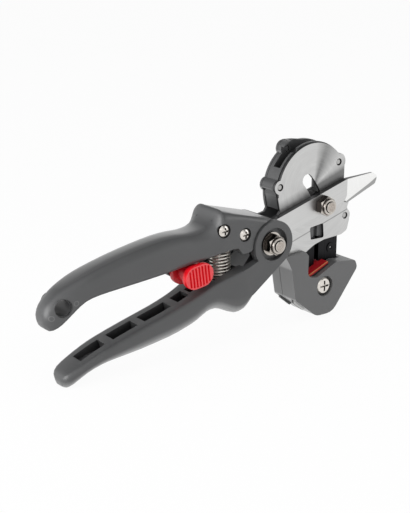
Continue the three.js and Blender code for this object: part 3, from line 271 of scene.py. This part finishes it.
# Rings turn the light, so a disc brushed in circles shows two darker fans; here they are painted reflection.
fan = bearing.above(*fan_in) * bearing.below(*fan_out) * (1 - radius.above(*fan_fade) * 0.6)
low_fan = bearing.above(*low_fan_in) * bearing.below(*low_fan_out)
# Painted shade beside the bar and a painted contact shadow under it, fixed to the plate along the bar's
# place at rest.
over_bar = plate_steel.along(plate_steel.spot(hinge, (0, -bar_turn, 0)))[2]
bar_shade = over_bar.above(*shade_in) * over_bar.below(*shade_out)
painted_contact_shadow = (over_bar + contact_shadow_place).size().below(*contact_shadow_width)
fans = fan * -fan_dark + low_fan * -low_fan_dark
painted_shading = fans + (bar_shade * -shade_dark + painted_contact_shadow * -contact_shadow_dark)
brushed = plate_steel.tint(ring_lines * 0.5 + broad_rings * 0.2 + 0.34 + painted_shading, ring_dark, ring_light)
# The sheet's edge faces and its tail inside the handle are painted dark grey: painted shade.
dark_edge_faces = plate_steel.facing()[1].size().below(*edge_facing)
tail = plate_steel.along(plate_steel.spot(hinge))[0].below(*inside_handle)
plate_steel.wear("Base Color", plate_steel.tint((dark_edge_faces + tail).held(), brushed, painted_shade_grey))
plate_steel.wear("Roughness", 0.24 + ring_lines * 0.14 + smudges * 0.08 + dark_edge_faces * 0.12)
plate_steel.relief(ring_lines + broad_rings * 0.4, 0.35, brushed_relief)

plates = {}
for node in ("frame_plate_front", "frame_plate_rear"):
    outline = flat_faces_whole(shared_corners(node))
    plates[node] = finished(outline, node + "_sheet", plate_steel, "upper", "brushed_steel", node)
    broken_edges(plates[node], plate_edge_round)

# Spacer between the plates: one dark grey nylon moulding that makes the thick rim of the disc and covers the
# rear plate's edge; on the rear plate's inner face the same nylon is painted shade.
# The tail spacer is a small black block. Rivets and screws hold both.


def grey_nylon(name, blotches, dark, light, roughness):
    """A moulded grey nylon, its grain and its mottled grey. The coat is the skin that hands polish."""
    skin = {"sheen_weight": 0.12, "sheen_roughness": 0.35, "coat_ior": 2.6, "coat_roughness": 0.38}
    nylon = Finish(name, ior=1.62, **skin)
    mottle = nylon.speckle(nylon.spot(), blotches, 3.0)
    grain = nylon.speckle(nylon.spot(), 2600, 2.0, 0.6)
    nylon.wear("Roughness", roughness + mottle * 0.08 + grain * 0.06)
    return nylon, grain, nylon.tint(mottle * 0.6 + grain * 0.4, dark, light)


def hollow(finish, distance, fade):
    """Painted shade: one deep in a hollow of the piece, nought in the open."""
    own_shade = {"samples": 8, "only_local": True}
    openness = finish.node("ShaderNodeAmbientOcclusion", own_shade, {"Distance": distance}, output=1)
    return openness.below(*fade)


def overmould(piece, finish, covered):
    """Gives a second finish to the faces that the test picks."""
    piece.data.materials.append(finish.material)
    for face in piece.data.polygons:
        if covered(face):
            face.material_index = 1


handle_dark, handle_light = (0.048, 0.049, 0.05, 1), (0.07, 0.071, 0.073, 1)
hollow_shade_black = (0.006, 0.006, 0.0065, 1)
hollow_reach, hollow_fade = 0.016, (0.2, 0.5)
facing_down = (0.08, 0.4)
# The rear plate's outer face, which looks back, is the only one left bare.
outer_face = 0.4
wave_turn, wave_stretch = (0, 0.2, 0), (4, 1, 1)
moulded_relief = 0.00005
black_dark, black_light = (0.008, 0.008, 0.009, 1), (0.016, 0.016, 0.017, 1)

grip_nylon, grip_grain, grip_grey = grey_nylon("grip_nylon", 55, handle_dark, handle_light, 0.33)
soft_wave = grip_nylon.speckle(grip_nylon.spot(turn=wave_turn, stretch=wave_stretch), 90, 1.0)
grip_hollow_shade = hollow(grip_nylon, hollow_reach, hollow_fade)
# Hollows are painted near black: painted shade.
grip_nylon.wear("Base Color", grip_nylon.tint(grip_hollow_shade, grip_grey, hollow_shade_black))
# Fingers polish the undersides.
grip_nylon.wear("Coat Weight", (0 - grip_nylon.facing()[2]).above(*facing_down))
grip_nylon.relief(grip_grain * 0.8 + soft_wave * 0.2, 0.16, moulded_relief)
finished(shared_corners("frame_core"), "frame_core_rim", grip_nylon, "upper", "grip_plastic", "frame_core")
# Its edges take the nylon as moulding; its inner face takes it as painted shade.
overmould(plates["frame_plate_rear"], grip_nylon, lambda face: face.normal.y < outer_face)

black_nylon = Finish("black_nylon", ior=1.5, specular_ior_level=0.35)
black_mottle = black_nylon.speckle(black_nylon.spot(), 120, 3.0)
black_grain = black_nylon.speckle(black_nylon.spot(), 2400, 2.0)
black_nylon.wear("Base Color", black_nylon.tint(black_mottle, black_dark, black_light))
black_nylon.wear("Roughness", 0.42 + black_mottle * 0.16)
black_nylon.relief(black_grain, 0.12, moulded_relief)
block = shared_corners("tail_spacer")
finished(block, "tail_spacer_block", black_nylon, "upper", "black_plastic", "tail_spacer")

# Rivets of the three ears and the blade guide stud: solid steel, headed over the plates by a spinning
# tool, so that they keep fine turned rings. The top one is short: its front end is moulded over.
rivet_dark, rivet_light = (0.36, 0.36, 0.355, 1), (0.56, 0.555, 0.545, 1)
turned_ring_scale = 6000
top_rivet_cover = 0.0045

rivets = {}
for node in ("ear_rivet_left", "ear_rivet_right", "ear_rivet_top", "blade_guide_stud"):
    low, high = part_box(node)
    rivet_steel = Finish(node + "_steel", metallic=1.0, ior=2.4)
    from_middle = rivet_steel.reach(rivet_steel.spot((low + high) / 2, stretch=no_depth))
    rings = rivet_steel.speckle(rivet_steel.point(from_middle * turned_ring_scale), 1.0, 2.0)
    rivet_steel.wear("Base Color", rivet_steel.tint(rings, rivet_dark, rivet_light))
    rivet_steel.wear("Roughness", 0.26 + rings * 0.16)
    rivet_steel.relief(rings, 0.3, brushed_relief)
    headed = shared_corners(node)
    rivets[node] = finished(headed, node + "_headed", rivet_steel, "upper", "brushed_steel", node)
overmould(rivets["ear_rivet_top"], grip_nylon, lambda face: face.center.y < hinge.y + top_rivet_cover)

# Upper handle: glass-filled nylon with a thumb horn, a hollow underside and a hanging hole with its sleeve.
# It is moulded round the frame's tail and stays matt, with a fine spark-eroded grain and two ejector marks.


def from_axis(finish, x, z):
    """How far the surface lies from a line across the tool, at x and z from the hinge."""
    return finish.reach(finish.spot(hinge + Vector((x, 0, z)), stretch=no_depth))


def either(masks):
    """One where any of the masks is one."""
    whole = masks[0]
    for mask in masks[1:]:
        whole = (whole + mask).held()
    return whole


ejector_pins = ((-0.1307, -0.0143), (-0.1179, -0.009))
pin_radius, pin_line = 0.0012, (0.00012, 0.00018)
pin_grey = (0.16, 0.16, 0.162, 1)
facing_up = (0.85, 0.13)
sleeve_place = hinge + Vector((-0.12449, 0.0065, -0.0103))
sleeve_radius, sleeve_length, sleeve_wall = 0.0046, 0.013, 0.0004

tail_nylon, tail_grain, tail_grey = grey_nylon("tail_nylon", 55, handle_dark, handle_light, 0.33)
pin_marks = either([
    (from_axis(tail_nylon, x, z) - pin_radius).size().below(*pin_line) for x, z in ejector_pins
])
tail_hollow_shade = hollow(tail_nylon, hollow_reach, hollow_fade)
marked_grey = tail_nylon.tint(pin_marks * 0.6, tail_grey, pin_grey)
# Hollows are painted near black: painted shade.
tail_nylon.wear("Base Color", tail_nylon.tint(tail_hollow_shade, marked_grey, hollow_shade_black))
# The palm polishes its top.
tail_nylon.wear("Coat Weight", tail_nylon.facing()[2].above(*facing_up))
tail_nylon.relief(tail_grain * 0.8 + pin_marks * 2.5, 0.16, moulded_relief)
finished(shared_corners("upper_handle"), "upper_grip", tail_nylon, "upper", "grip_plastic", "upper_handle")

sleeve = bmesh.new()
bmesh.ops.create_circle(sleeve, segments=48, radius=sleeve_radius)
drawn = bmesh.ops.extrude_edge_only(sleeve, edges=sleeve.edges)["geom"]
far_rim = [corner for corner in drawn if isinstance(corner, bmesh.types.BMVert)]
bmesh.ops.translate(sleeve, verts=far_rim, vec=(0, 0, sleeve_length))
bmesh.ops.recalc_face_normals(sleeve, faces=sleeve.faces)
bmesh.ops.solidify(sleeve, geom=sleeve.faces, thickness=sleeve_wall)
bmesh.ops.rotate(sleeve, verts=sleeve.verts, matrix=Matrix.Rotation(math.radians(90), 3, "X"))
bmesh.ops.translate(sleeve, verts=sleeve.verts, vec=sleeve_place)
bmesh.ops.recalc_face_normals(sleeve, faces=sleeve.faces)
finished(sleeve, "hanging_eyelet", grip_nylon, "upper", "grip_plastic")

# Cross-recess screws of the handle, the jaw and the graft blade: nickel-plated steel with domed heads.
# The faces that don't look forward, the sides of the struck recess among them, are painted dark brown:
# painted shade.
nickel_dark, nickel_light = (0.6, 0.56, 0.51, 1), (0.86, 0.83, 0.79, 1)
recess_shade_brown = (0.06, 0.05, 0.045, 1)
head_faces = (0.35, 0.3)
plated_relief = 0.00003

screw_nickel = Finish("screw_nickel", metallic=1.0, ior=2.4)
plating = screw_nickel.speckle(screw_nickel.spot(), 900, 3.0)
handling = screw_nickel.speckle(screw_nickel.spot(), 210, 2.0)
recess_shade = (0 - screw_nickel.facing()[1]).below(*head_faces)
domed = screw_nickel.tint(handling, nickel_dark, nickel_light)
screw_nickel.wear("Base Color", screw_nickel.tint(recess_shade, domed, recess_shade_brown))
screw_nickel.wear("Roughness", 0.16 + plating * 0.12 + handling * 0.08)
screw_nickel.relief(plating, 0.12, plated_relief)
for body, nodes in (
    ("upper", ("handle_screw_rear", "handle_screw_front", "jaw_screw")),
    ("cutter", ("blade_screw_left", "blade_screw_right")),
):
    for node in nodes:
        finished(shared_corners(node), node + "_plated", screw_nickel, body, "nickel", node)

# Jaw: two mouldings of a lighter grey nylon, screwed together round the legs of the plates.
# The ledge beside the plates and the moulding's hollows are painted dark: painted shade.
jaw_dark, jaw_light = (0.09, 0.091, 0.092, 1), (0.118, 0.119, 0.12, 1)
jaw_shade = (0.015, 0.015, 0.0155, 1)
ledge_faces, ledge_end = (0.5, 0.2), (0.031, 0.001)
jaw_hollow_reach, jaw_hollow_fade = 0.004, (0.15, 0.4)

jaw_nylon, jaw_grain, jaw_grey = grey_nylon("jaw_nylon", 60, jaw_dark, jaw_light, 0.34)
beside_plates = jaw_nylon.along(jaw_nylon.spot(hinge))[0].below(*ledge_end)
ledge = jaw_nylon.facing()[2].above(*ledge_faces) * beside_plates
jaw_hollow = hollow(jaw_nylon, jaw_hollow_reach, jaw_hollow_fade)
jaw_nylon.wear("Base Color", jaw_nylon.tint((ledge + jaw_hollow).held(), jaw_grey, jaw_shade))
jaw_nylon.wear("Coat Weight", (0 - jaw_nylon.facing()[2]).above(*facing_down))
jaw_nylon.relief(jaw_grain, 0.14, moulded_relief)
for node in ("jaw_shell_front", "jaw_shell_rear"):
    finished(shared_corners(node), node + "_moulding", jaw_nylon, "upper", "grip_plastic", node)

# Anvil pad: dark red rubbery plastic pressed into the jaw's hollow. The blade's edge closes on it.
# A paler gold line runs along its front rim.
pad_slope = math.radians(21.3)
pad_rim = hinge + Vector((0.0311, 0, -0.0269))
pad_front = (0.4, 0.3)
shade_from_rim, rim_line_drop, rim_line_width = (-0.0016, 0.0003), 0.0003, (0.0002, 0.0002)
pad_relief = 0.00006
pad_dark, pad_light = (0.4, 0.004, 0.01, 1), (0.56, 0.008, 0.018, 1)
rim_gold, pad_shade_black = (0.5, 0.32, 0.1, 1), (0.012, 0.01, 0.01, 1)

pad_rubber = Finish("pad_rubber", ior=1.5)
pad_grain = pad_rubber.speckle(pad_rubber.spot(), 1500, 3.0)
pad_wear = pad_rubber.speckle(pad_rubber.spot(), 160, 2.0)
over_rim = pad_rubber.along(pad_rubber.spot(pad_rim, (0, -pad_slope, 0)))[2]
in_front = (0 - pad_rubber.facing()[1]).above(*pad_front)
# The front faces below the rim are painted near black: painted shade under the jaw's front wall.
pad_front_shade = in_front * over_rim.below(*shade_from_rim)
rim_line = in_front * (over_rim + rim_line_drop).size().below(*rim_line_width)
lined_red = pad_rubber.tint(rim_line * 0.6, pad_rubber.tint(pad_wear, pad_dark, pad_light), rim_gold)
pad_rubber.wear("Base Color", pad_rubber.tint(pad_front_shade, lined_red, pad_shade_black))
pad_rubber.wear("Roughness", 0.45 + pad_grain * 0.15)
pad_rubber.relief(pad_grain, 0.2, pad_relief)
finished(shared_corners("anvil_pad"), "anvil_pad_moulding", pad_rubber, "upper", "pad_red", "anvil_pad")

# Blade arm: nylon arm between the plates, from the hinge's bush to the graft blade.
# Its lower half is grey where the window shows it, and its upper half is black.
arm_dark, arm_light = (0.1, 0.101, 0.103, 1), (0.13, 0.131, 0.133, 1)
arm_black_dark, arm_black_light = (0.008, 0.008, 0.009, 1), (0.014, 0.014, 0.015, 1)
black_from = (0.0045, 0.0006)

arm_nylon = Finish("arm_nylon", ior=1.5, specular_ior_level=0.4)
arm_mottle = arm_nylon.speckle(arm_nylon.spot(), 120, 3.0)
upper_half = arm_nylon.along(arm_nylon.spot(hinge))[2].above(*black_from)
arm_grey = arm_nylon.tint(arm_mottle, arm_dark, arm_light)
arm_black = arm_nylon.tint(arm_mottle, arm_black_dark, arm_black_light)
arm_nylon.wear("Base Color", arm_nylon.tint(upper_half, arm_grey, arm_black))
arm_nylon.wear("Roughness", 0.38 + arm_mottle * 0.14)
arm_nylon.relief(arm_mottle, 0.12, moulded_relief)
arm = shared_corners("blade_arm")
finished(arm, "blade_arm_moulding", arm_nylon, "cutter", "black_plastic", "blade_arm")

# Graft blade: thin spring steel bent to an omega section, blackened, with a bare ground edge at its foot.
# The foot of its right wing reaches down into the jaw's slot.
blued_dark, blued_light = (0.012, 0.012, 0.013, 1), (0.03, 0.03, 0.032, 1)
bare_steel = (0.5, 0.5, 0.5, 1)
bare_height = (0.0011, 0.0003)
wing_start, wing_foot_low, wing_foot_high = 0.0502, -0.0192, -0.0185
wing_drop = 0.004
grind_stretch = (0.05, 0.05, 1)

blued_steel = Finish("blued_steel", metallic=1.0, ior=2.4)
foot_height = blued_steel.along(blued_steel.spot(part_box("graft_blade")[0]))[2]
grinding = blued_steel.speckle(blued_steel.spot(stretch=grind_stretch), 60, 3.0)
blackened = blued_steel.tint(grinding, blued_dark, blued_light)
blued_steel.wear("Base Color", blued_steel.tint(foot_height.below(*bare_height), blackened, bare_steel))
blued_steel.wear("Roughness", 0.3 + grinding * 0.15)
blued_steel.relief(grinding, 0.2, plated_relief)
strip = shared_corners("graft_blade")
wing_foot = [
    corner for corner in strip.verts
    if corner.co.x > hinge.x + wing_start and wing_foot_low < corner.co.z - hinge.z < wing_foot_high
]
bmesh.ops.translate(strip, verts=wing_foot, vec=(0, 0, -wing_drop))
finished(strip, "graft_blade_strip", blued_steel, "cutter", "black_steel", "graft_blade")

# Knife bar: 3 mm carbon steel, brushed along its length. Its end is ground bright to a pointed grafting
# knife with a narrow grey cutting bevel.
knife_start = (0.0568, 0.0004)
cutting_edge = hinge + Vector((0.0595, 0, 0.0117))
cutting_turn = math.radians(24.5)
bevel_height = (0.0013, 0.0004)
knife_edge_round = 0.00014
bar_line_size, knife_line_size = (0.03, 0.004, 0.0004), (0.0004, 0.004, 0.02)
bar_dark, bar_light = (0.5, 0.5, 0.495, 1), (0.7, 0.7, 0.695, 1)
ground_dark, ground_light = (0.84, 0.84, 0.83, 1), (0.95, 0.95, 0.94, 1)
bevel_grey, bar_shade_grey = (0.36, 0.36, 0.357, 1), (0.07, 0.07, 0.072, 1)

bar_steel = Finish("bar_steel", metallic=1.0, ior=2.4)
along_bar = bar_steel.spot(hinge, (0, -bar_turn, 0), bar_line_size)
across_bar = bar_steel.spot(hinge, (0, -bar_turn, 0), knife_line_size)
bar_lines = bar_steel.speckle(along_bar, 1.0, 3.0, 0.6)
knife_lines = bar_steel.speckle(across_bar, 1.0, 3.0)
bar_cloud = bar_steel.speckle(bar_steel.spot(), 80, 3.0)
from_hinge = bar_steel.along(bar_steel.spot(hinge))[0]
ground = from_hinge.above(*knife_start)
over_edge = bar_steel.along(bar_steel.spot(cutting_edge, (0, -cutting_turn, 0)))[2]
bevel = ground * over_edge.below(*bevel_height)
# The bar's side faces and its tail inside the handle are painted dark grey: painted shade.
bar_side_shade = bar_steel.facing()[1].size().below(*edge_facing)
brushed_bar = bar_steel.tint(bar_lines * 0.8 + bar_cloud * 0.2, bar_dark, bar_light)
ground_face = bar_steel.tint(knife_lines, ground_dark, ground_light)
bar_face = bar_steel.tint(bevel, bar_steel.tint(ground, brushed_bar, ground_face), bevel_grey)
bar_shadow = (bar_side_shade + from_hinge.below(*inside_handle)).held()
bar_steel.wear("Base Color", bar_steel.tint(bar_shadow, bar_face, bar_shade_grey))
bar_steel.wear("Roughness", 0.24 + bar_lines * 0.14 + bar_cloud * 0.06)
bar_steel.relief(bar_lines, 0.3, brushed_relief)
bar_outline = flat_faces_whole(shared_corners("knife_bar"))
bar = finished(bar_outline, "knife_bar_ground", bar_steel, "cutter", "brushed_steel", "knife_bar")
broken_edges(bar, knife_edge_round)

# Lower handle: the same nylon as the upper one, with an open ribbed channel, a finger guard and a fork
# that takes the hinge's bolt. It is moulded in one.
finished(shared_corners("lower_handle"), "lower_grip", grip_nylon, "cutter", "grip_plastic", "lower_handle")

# Bar pin: plain steel pin, turned from rod. It lies across the lower handle and keeps the knife bar's tail
# there.
finished(shared_corners("bar_pin"), "bar_pin_turned", bar_steel, "cutter", "brushed_steel", "bar_pin")

# Hinge and guide bolts: nickel-plated hexagon bolts with self-locking nuts, and a washer at the hinge.
# Their ends are turned and lose their plating. The hinge turns on a plain steel bush.
axes = ((0, 0), (0.039, 0.01418))
bolt_end = (0.0024, 0.0003)
flank_faces, upper_flanks = (0.3, 0.4), (-0.62, 0.3)
bolt_dark, bolt_light = (0.32, 0.285, 0.25, 1), (0.76, 0.725, 0.68, 1)
flank_shade_brown = (0.07, 0.06, 0.055, 1)
end_dark, end_light = (0.25, 0.21, 0.18, 1), (0.62, 0.57, 0.52, 1)

bolt_nickel = Finish("bolt_nickel", metallic=1.0, ior=2.4)
bolt_grain = bolt_nickel.speckle(bolt_nickel.spot(), 700, 3.0)
bolt_cloud = bolt_nickel.speckle(bolt_nickel.spot(), 160, 2.0)
end_specks = bolt_nickel.speckle(bolt_nickel.spot(), 1300, 2.0)
_, bolt_facing_back, bolt_facing_up = bolt_nickel.facing()
# The sideways flanks of the hexagons are painted dark brown: painted reflection of a dark surround.
flank_shade = bolt_facing_back.size().below(*flank_faces) * bolt_facing_up.above(*upper_flanks)
ends = either([from_axis(bolt_nickel, x, z).below(*bolt_end) for x, z in axes])
plated = bolt_nickel.tint(flank_shade, bolt_nickel.tint(bolt_cloud, bolt_dark, bolt_light), flank_shade_brown)
turned_end = bolt_nickel.tint(end_specks, end_dark, end_light)
bolt_nickel.wear("Base Color", bolt_nickel.tint(ends, plated, turned_end))
bolt_nickel.wear("Roughness", 0.14 + bolt_grain * 0.12 + bolt_cloud * 0.08)
bolt_nickel.relief(bolt_grain, 0.1, plated_relief)
for node in ("pivot_washer", "pivot_nut", "pivot_bolt", "guide_nut", "guide_bolt"):
    finished(shared_corners(node), node + "_plated", bolt_nickel, "cutter", "nickel", node)
bush = shared_corners("pivot_bush")
finished(bush, "pivot_bush_turned", bar_steel, "cutter", "brushed_steel", "pivot_bush")

# Lock slider: glossy red moulding with a grooved thumb pad. It rides in the slot under the upper handle.
# The front faces of its ribs are painted pale pink as painted highlights, and the part behind the pad is
# painted darker as painted shade.
slider_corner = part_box("lock_slider")[0]
rib_faces, rib_depth, behind_pad = (0.5, 0.3), (0.0002, 0.0002), (0.0045, 0.001)
red_dark, red_light = (0.72, 0.001, 0.008, 1), (0.86, 0.003, 0.014, 1)
shade_red, highlight_pink = (0.3, 0.001, 0.006, 1), (0.78, 0.062, 0.07, 1)

lock_gloss = Finish("lock_gloss", ior=1.5)
lock_cloud = lock_gloss.speckle(lock_gloss.spot(), 130, 2.0)
lock_grain = lock_gloss.speckle(lock_gloss.spot(), 1700, 2.0)
depth = lock_gloss.along(lock_gloss.spot(slider_corner))[1]
rib_highlight = (0 - lock_gloss.facing()[1]).above(*rib_faces) * depth.below(*rib_depth)
lock_red = lock_gloss.tint(lock_cloud, red_dark, red_light)
shaded_red = lock_gloss.tint(depth.above(*behind_pad) * 0.6, lock_red, shade_red)
lock_gloss.wear("Base Color", lock_gloss.tint(rib_highlight, shaded_red, highlight_pink))
lock_gloss.wear("Roughness", 0.28 + lock_cloud * 0.12 + lock_grain * 0.05)
lock_gloss.relief(lock_grain, 0.08, moulded_relief)
slider = shared_corners("lock_slider")
finished(slider, "lock_slider_moulding", lock_gloss, "lock", "lock_red", "lock_slider")

# Return spring: plated music wire wound on a mandrel, with its ends seated in both handles.
# It stretches as the handles open; here it is one fixed mesh that rides no body.
wire_radius, coil_radius = 0.00052, 0.00545
curls, steps_per_curl = 12, 28
end_room = 0.0006
spring_top = hinge + Vector((-0.02559, 0, 0.0032))
spring_foot = hinge + Vector((-0.0254, 0, -0.0193))
spring_axis = spring_top - spring_foot
wire_dark, wire_light = (0.72, 0.68, 0.62, 1), (0.95, 0.91, 0.86, 1)

spring_plating = Finish("spring_plating", metallic=1.0, ior=2.4)
wire_cloud = spring_plating.speckle(spring_plating.spot(), 400, 2.0)
wire_lines = spring_plating.speckle(spring_plating.spot(), 2500, 2.0)
spring_plating.wear("Base Color", spring_plating.tint(wire_cloud, wire_dark, wire_light))
spring_plating.wear("Roughness", 0.26 + wire_lines * 0.16)
spring_plating.relief(wire_lines, 0.1, plated_relief)
coil = bmesh.new()
bmesh.ops.create_circle(coil, segments=12, radius=wire_radius)
bmesh.ops.rotate(coil, verts=coil.verts, matrix=Matrix.Rotation(math.radians(90), 3, "X"))
bmesh.ops.translate(coil, verts=coil.verts, vec=(coil_radius, 0, end_room))
wound_steps = curls * steps_per_curl
climb = (spring_axis.length - 2 * end_room) / wound_steps
bmesh.ops.spin(
    coil, geom=coil.verts[:] + coil.edges[:], cent=(0, 0, 0), axis=(0, 0, 1), angle=math.tau * curls,
    steps=wound_steps, dvec=(0, 0, climb),
)
bmesh.ops.holes_fill(coil, edges=coil.edges, sides=0)
bmesh.ops.recalc_face_normals(coil, faces=coil.faces)
upright = Vector((0, 0, 1))
bmesh.ops.rotate(coil, verts=coil.verts, matrix=upright.rotation_difference(spring_axis).to_matrix())
bmesh.ops.translate(coil, verts=coil.verts, vec=spring_foot)
spring = finished(
    coil, "return_spring_wire", spring_plating, None, "spring_wire", "return_spring", crease=80
)
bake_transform(spring)

# Studio: a pale floor just under the tool and a plain white surround that ends in a darker ceiling.
# One large soft lamp hangs above the camera, one stands at its left and a weaker one at its right.


def seen(nodes):
    """One for the rays that show the surroundings: straight, mirrored, or through a clear piece."""
    rays = nodes.node("ShaderNodeLightPath").socket.node.outputs
    straight = Field(rays["Is Camera Ray"])
    return (straight + Field(rays["Is Glossy Ray"]) + Field(rays["Is Transmission Ray"])).held()


floor_drop, floor_size, floor_glow = 0.0004, 6, 0.94
paper_white, pure_white = (0.86, 0.86, 0.86, 1), (1, 1, 1, 1)
room_light = 0.55
ceiling_rise, ceiling_dark = (0.3, 0.35), 0.85
lamp_aim = Vector((0, 0, 0.05))

floor_finish = Finish("studio_floor", base_color=paper_white, roughness=0.9)
white = floor_finish.node("ShaderNodeEmission", None, {"Color": pure_white, "Strength": 1.0})
paper = Field(floor_finish.shader.outputs[0])
glow = seen(floor_finish) * floor_glow
lit_floor = floor_finish.node("ShaderNodeMixShader", None, {0: glow, 1: paper, 2: white})
floor_finish.feed(floor_finish.tree.nodes["Material Output"].inputs["Surface"], lit_floor)
sheet = bmesh.new()
bmesh.ops.create_grid(sheet, x_segments=1, y_segments=1, size=floor_size)
bmesh.ops.translate(sheet, verts=sheet.verts, vec=(0, 0, packed_box[0].z - floor_drop))
floor_mesh = bpy.data.meshes.new("studio_floor")
sheet.to_mesh(floor_mesh)
sheet.free()
floor_mesh.materials.append(floor_finish.material)
floor = bpy.data.objects.new("studio_floor", floor_mesh)
bpy.context.scene.collection.objects.link(floor)

surround = bpy.data.worlds.new("studio_surround")
surround.use_nodes = True
bpy.context.scene.world = surround
air = Nodes(surround.node_tree)
sky = air.tree.nodes["Background"]
air.feed(sky.inputs["Color"], pure_white)
air.feed(sky.inputs["Strength"], room_light)
upward = air.along(air.node("ShaderNodeTexCoord"))[2]
wall_light = 1 - upward.above(*ceiling_rise) * ceiling_dark
backdrop = air.node("ShaderNodeBackground", None, {"Color": pure_white, "Strength": wall_light})
room = air.node("ShaderNodeMixShader", None, {0: seen(air), 1: Field(sky.outputs[0]), 2: backdrop})
air.feed(air.tree.nodes["World Output"].inputs["Surface"], room)


def softbox(name, place, size, power):
    lamp = bpy.data.lights.new(name, "AREA")
    lamp.shape = "DISK"
    lamp.size = size
    lamp.energy = power
    holder = bpy.data.objects.new(name, lamp)
    holder.location = place
    holder.rotation_euler = (lamp_aim - Vector(place)).to_track_quat("-Z", "Y").to_euler()
    bpy.context.scene.collection.objects.link(holder)


softbox("key_softbox", (-0.45, -0.5, 0.9), 1.5, 4.4)
softbox("side_softbox", (-0.95, 0.05, 0.3), 0.8, 7.5)
softbox("fill_softbox", (0.8, -0.5, 0.5), 0.6, 1.6)

# Camera: from the front left and a little above, upright as in the photo. It stands nearer the handles'
# ends than the head, so the handles look larger.
camera_from_hinge = Vector((-0.3655, -0.4353, 0.1708))
camera_turn = (math.radians(72.3), 0, math.radians(-37.2))

view = bpy.data.cameras.new("photo_view")
view.sensor_width = 36
view.lens = 77.19
camera = bpy.data.objects.new("photo_view", view)
camera.location = hinge + camera_from_hinge
camera.rotation_euler = camera_turn
bpy.context.scene.collection.objects.link(camera)
bpy.context.scene.camera = camera
bpy.context.scene.view_settings.view_transform = "Standard"

bpy.context.view_layer.update()
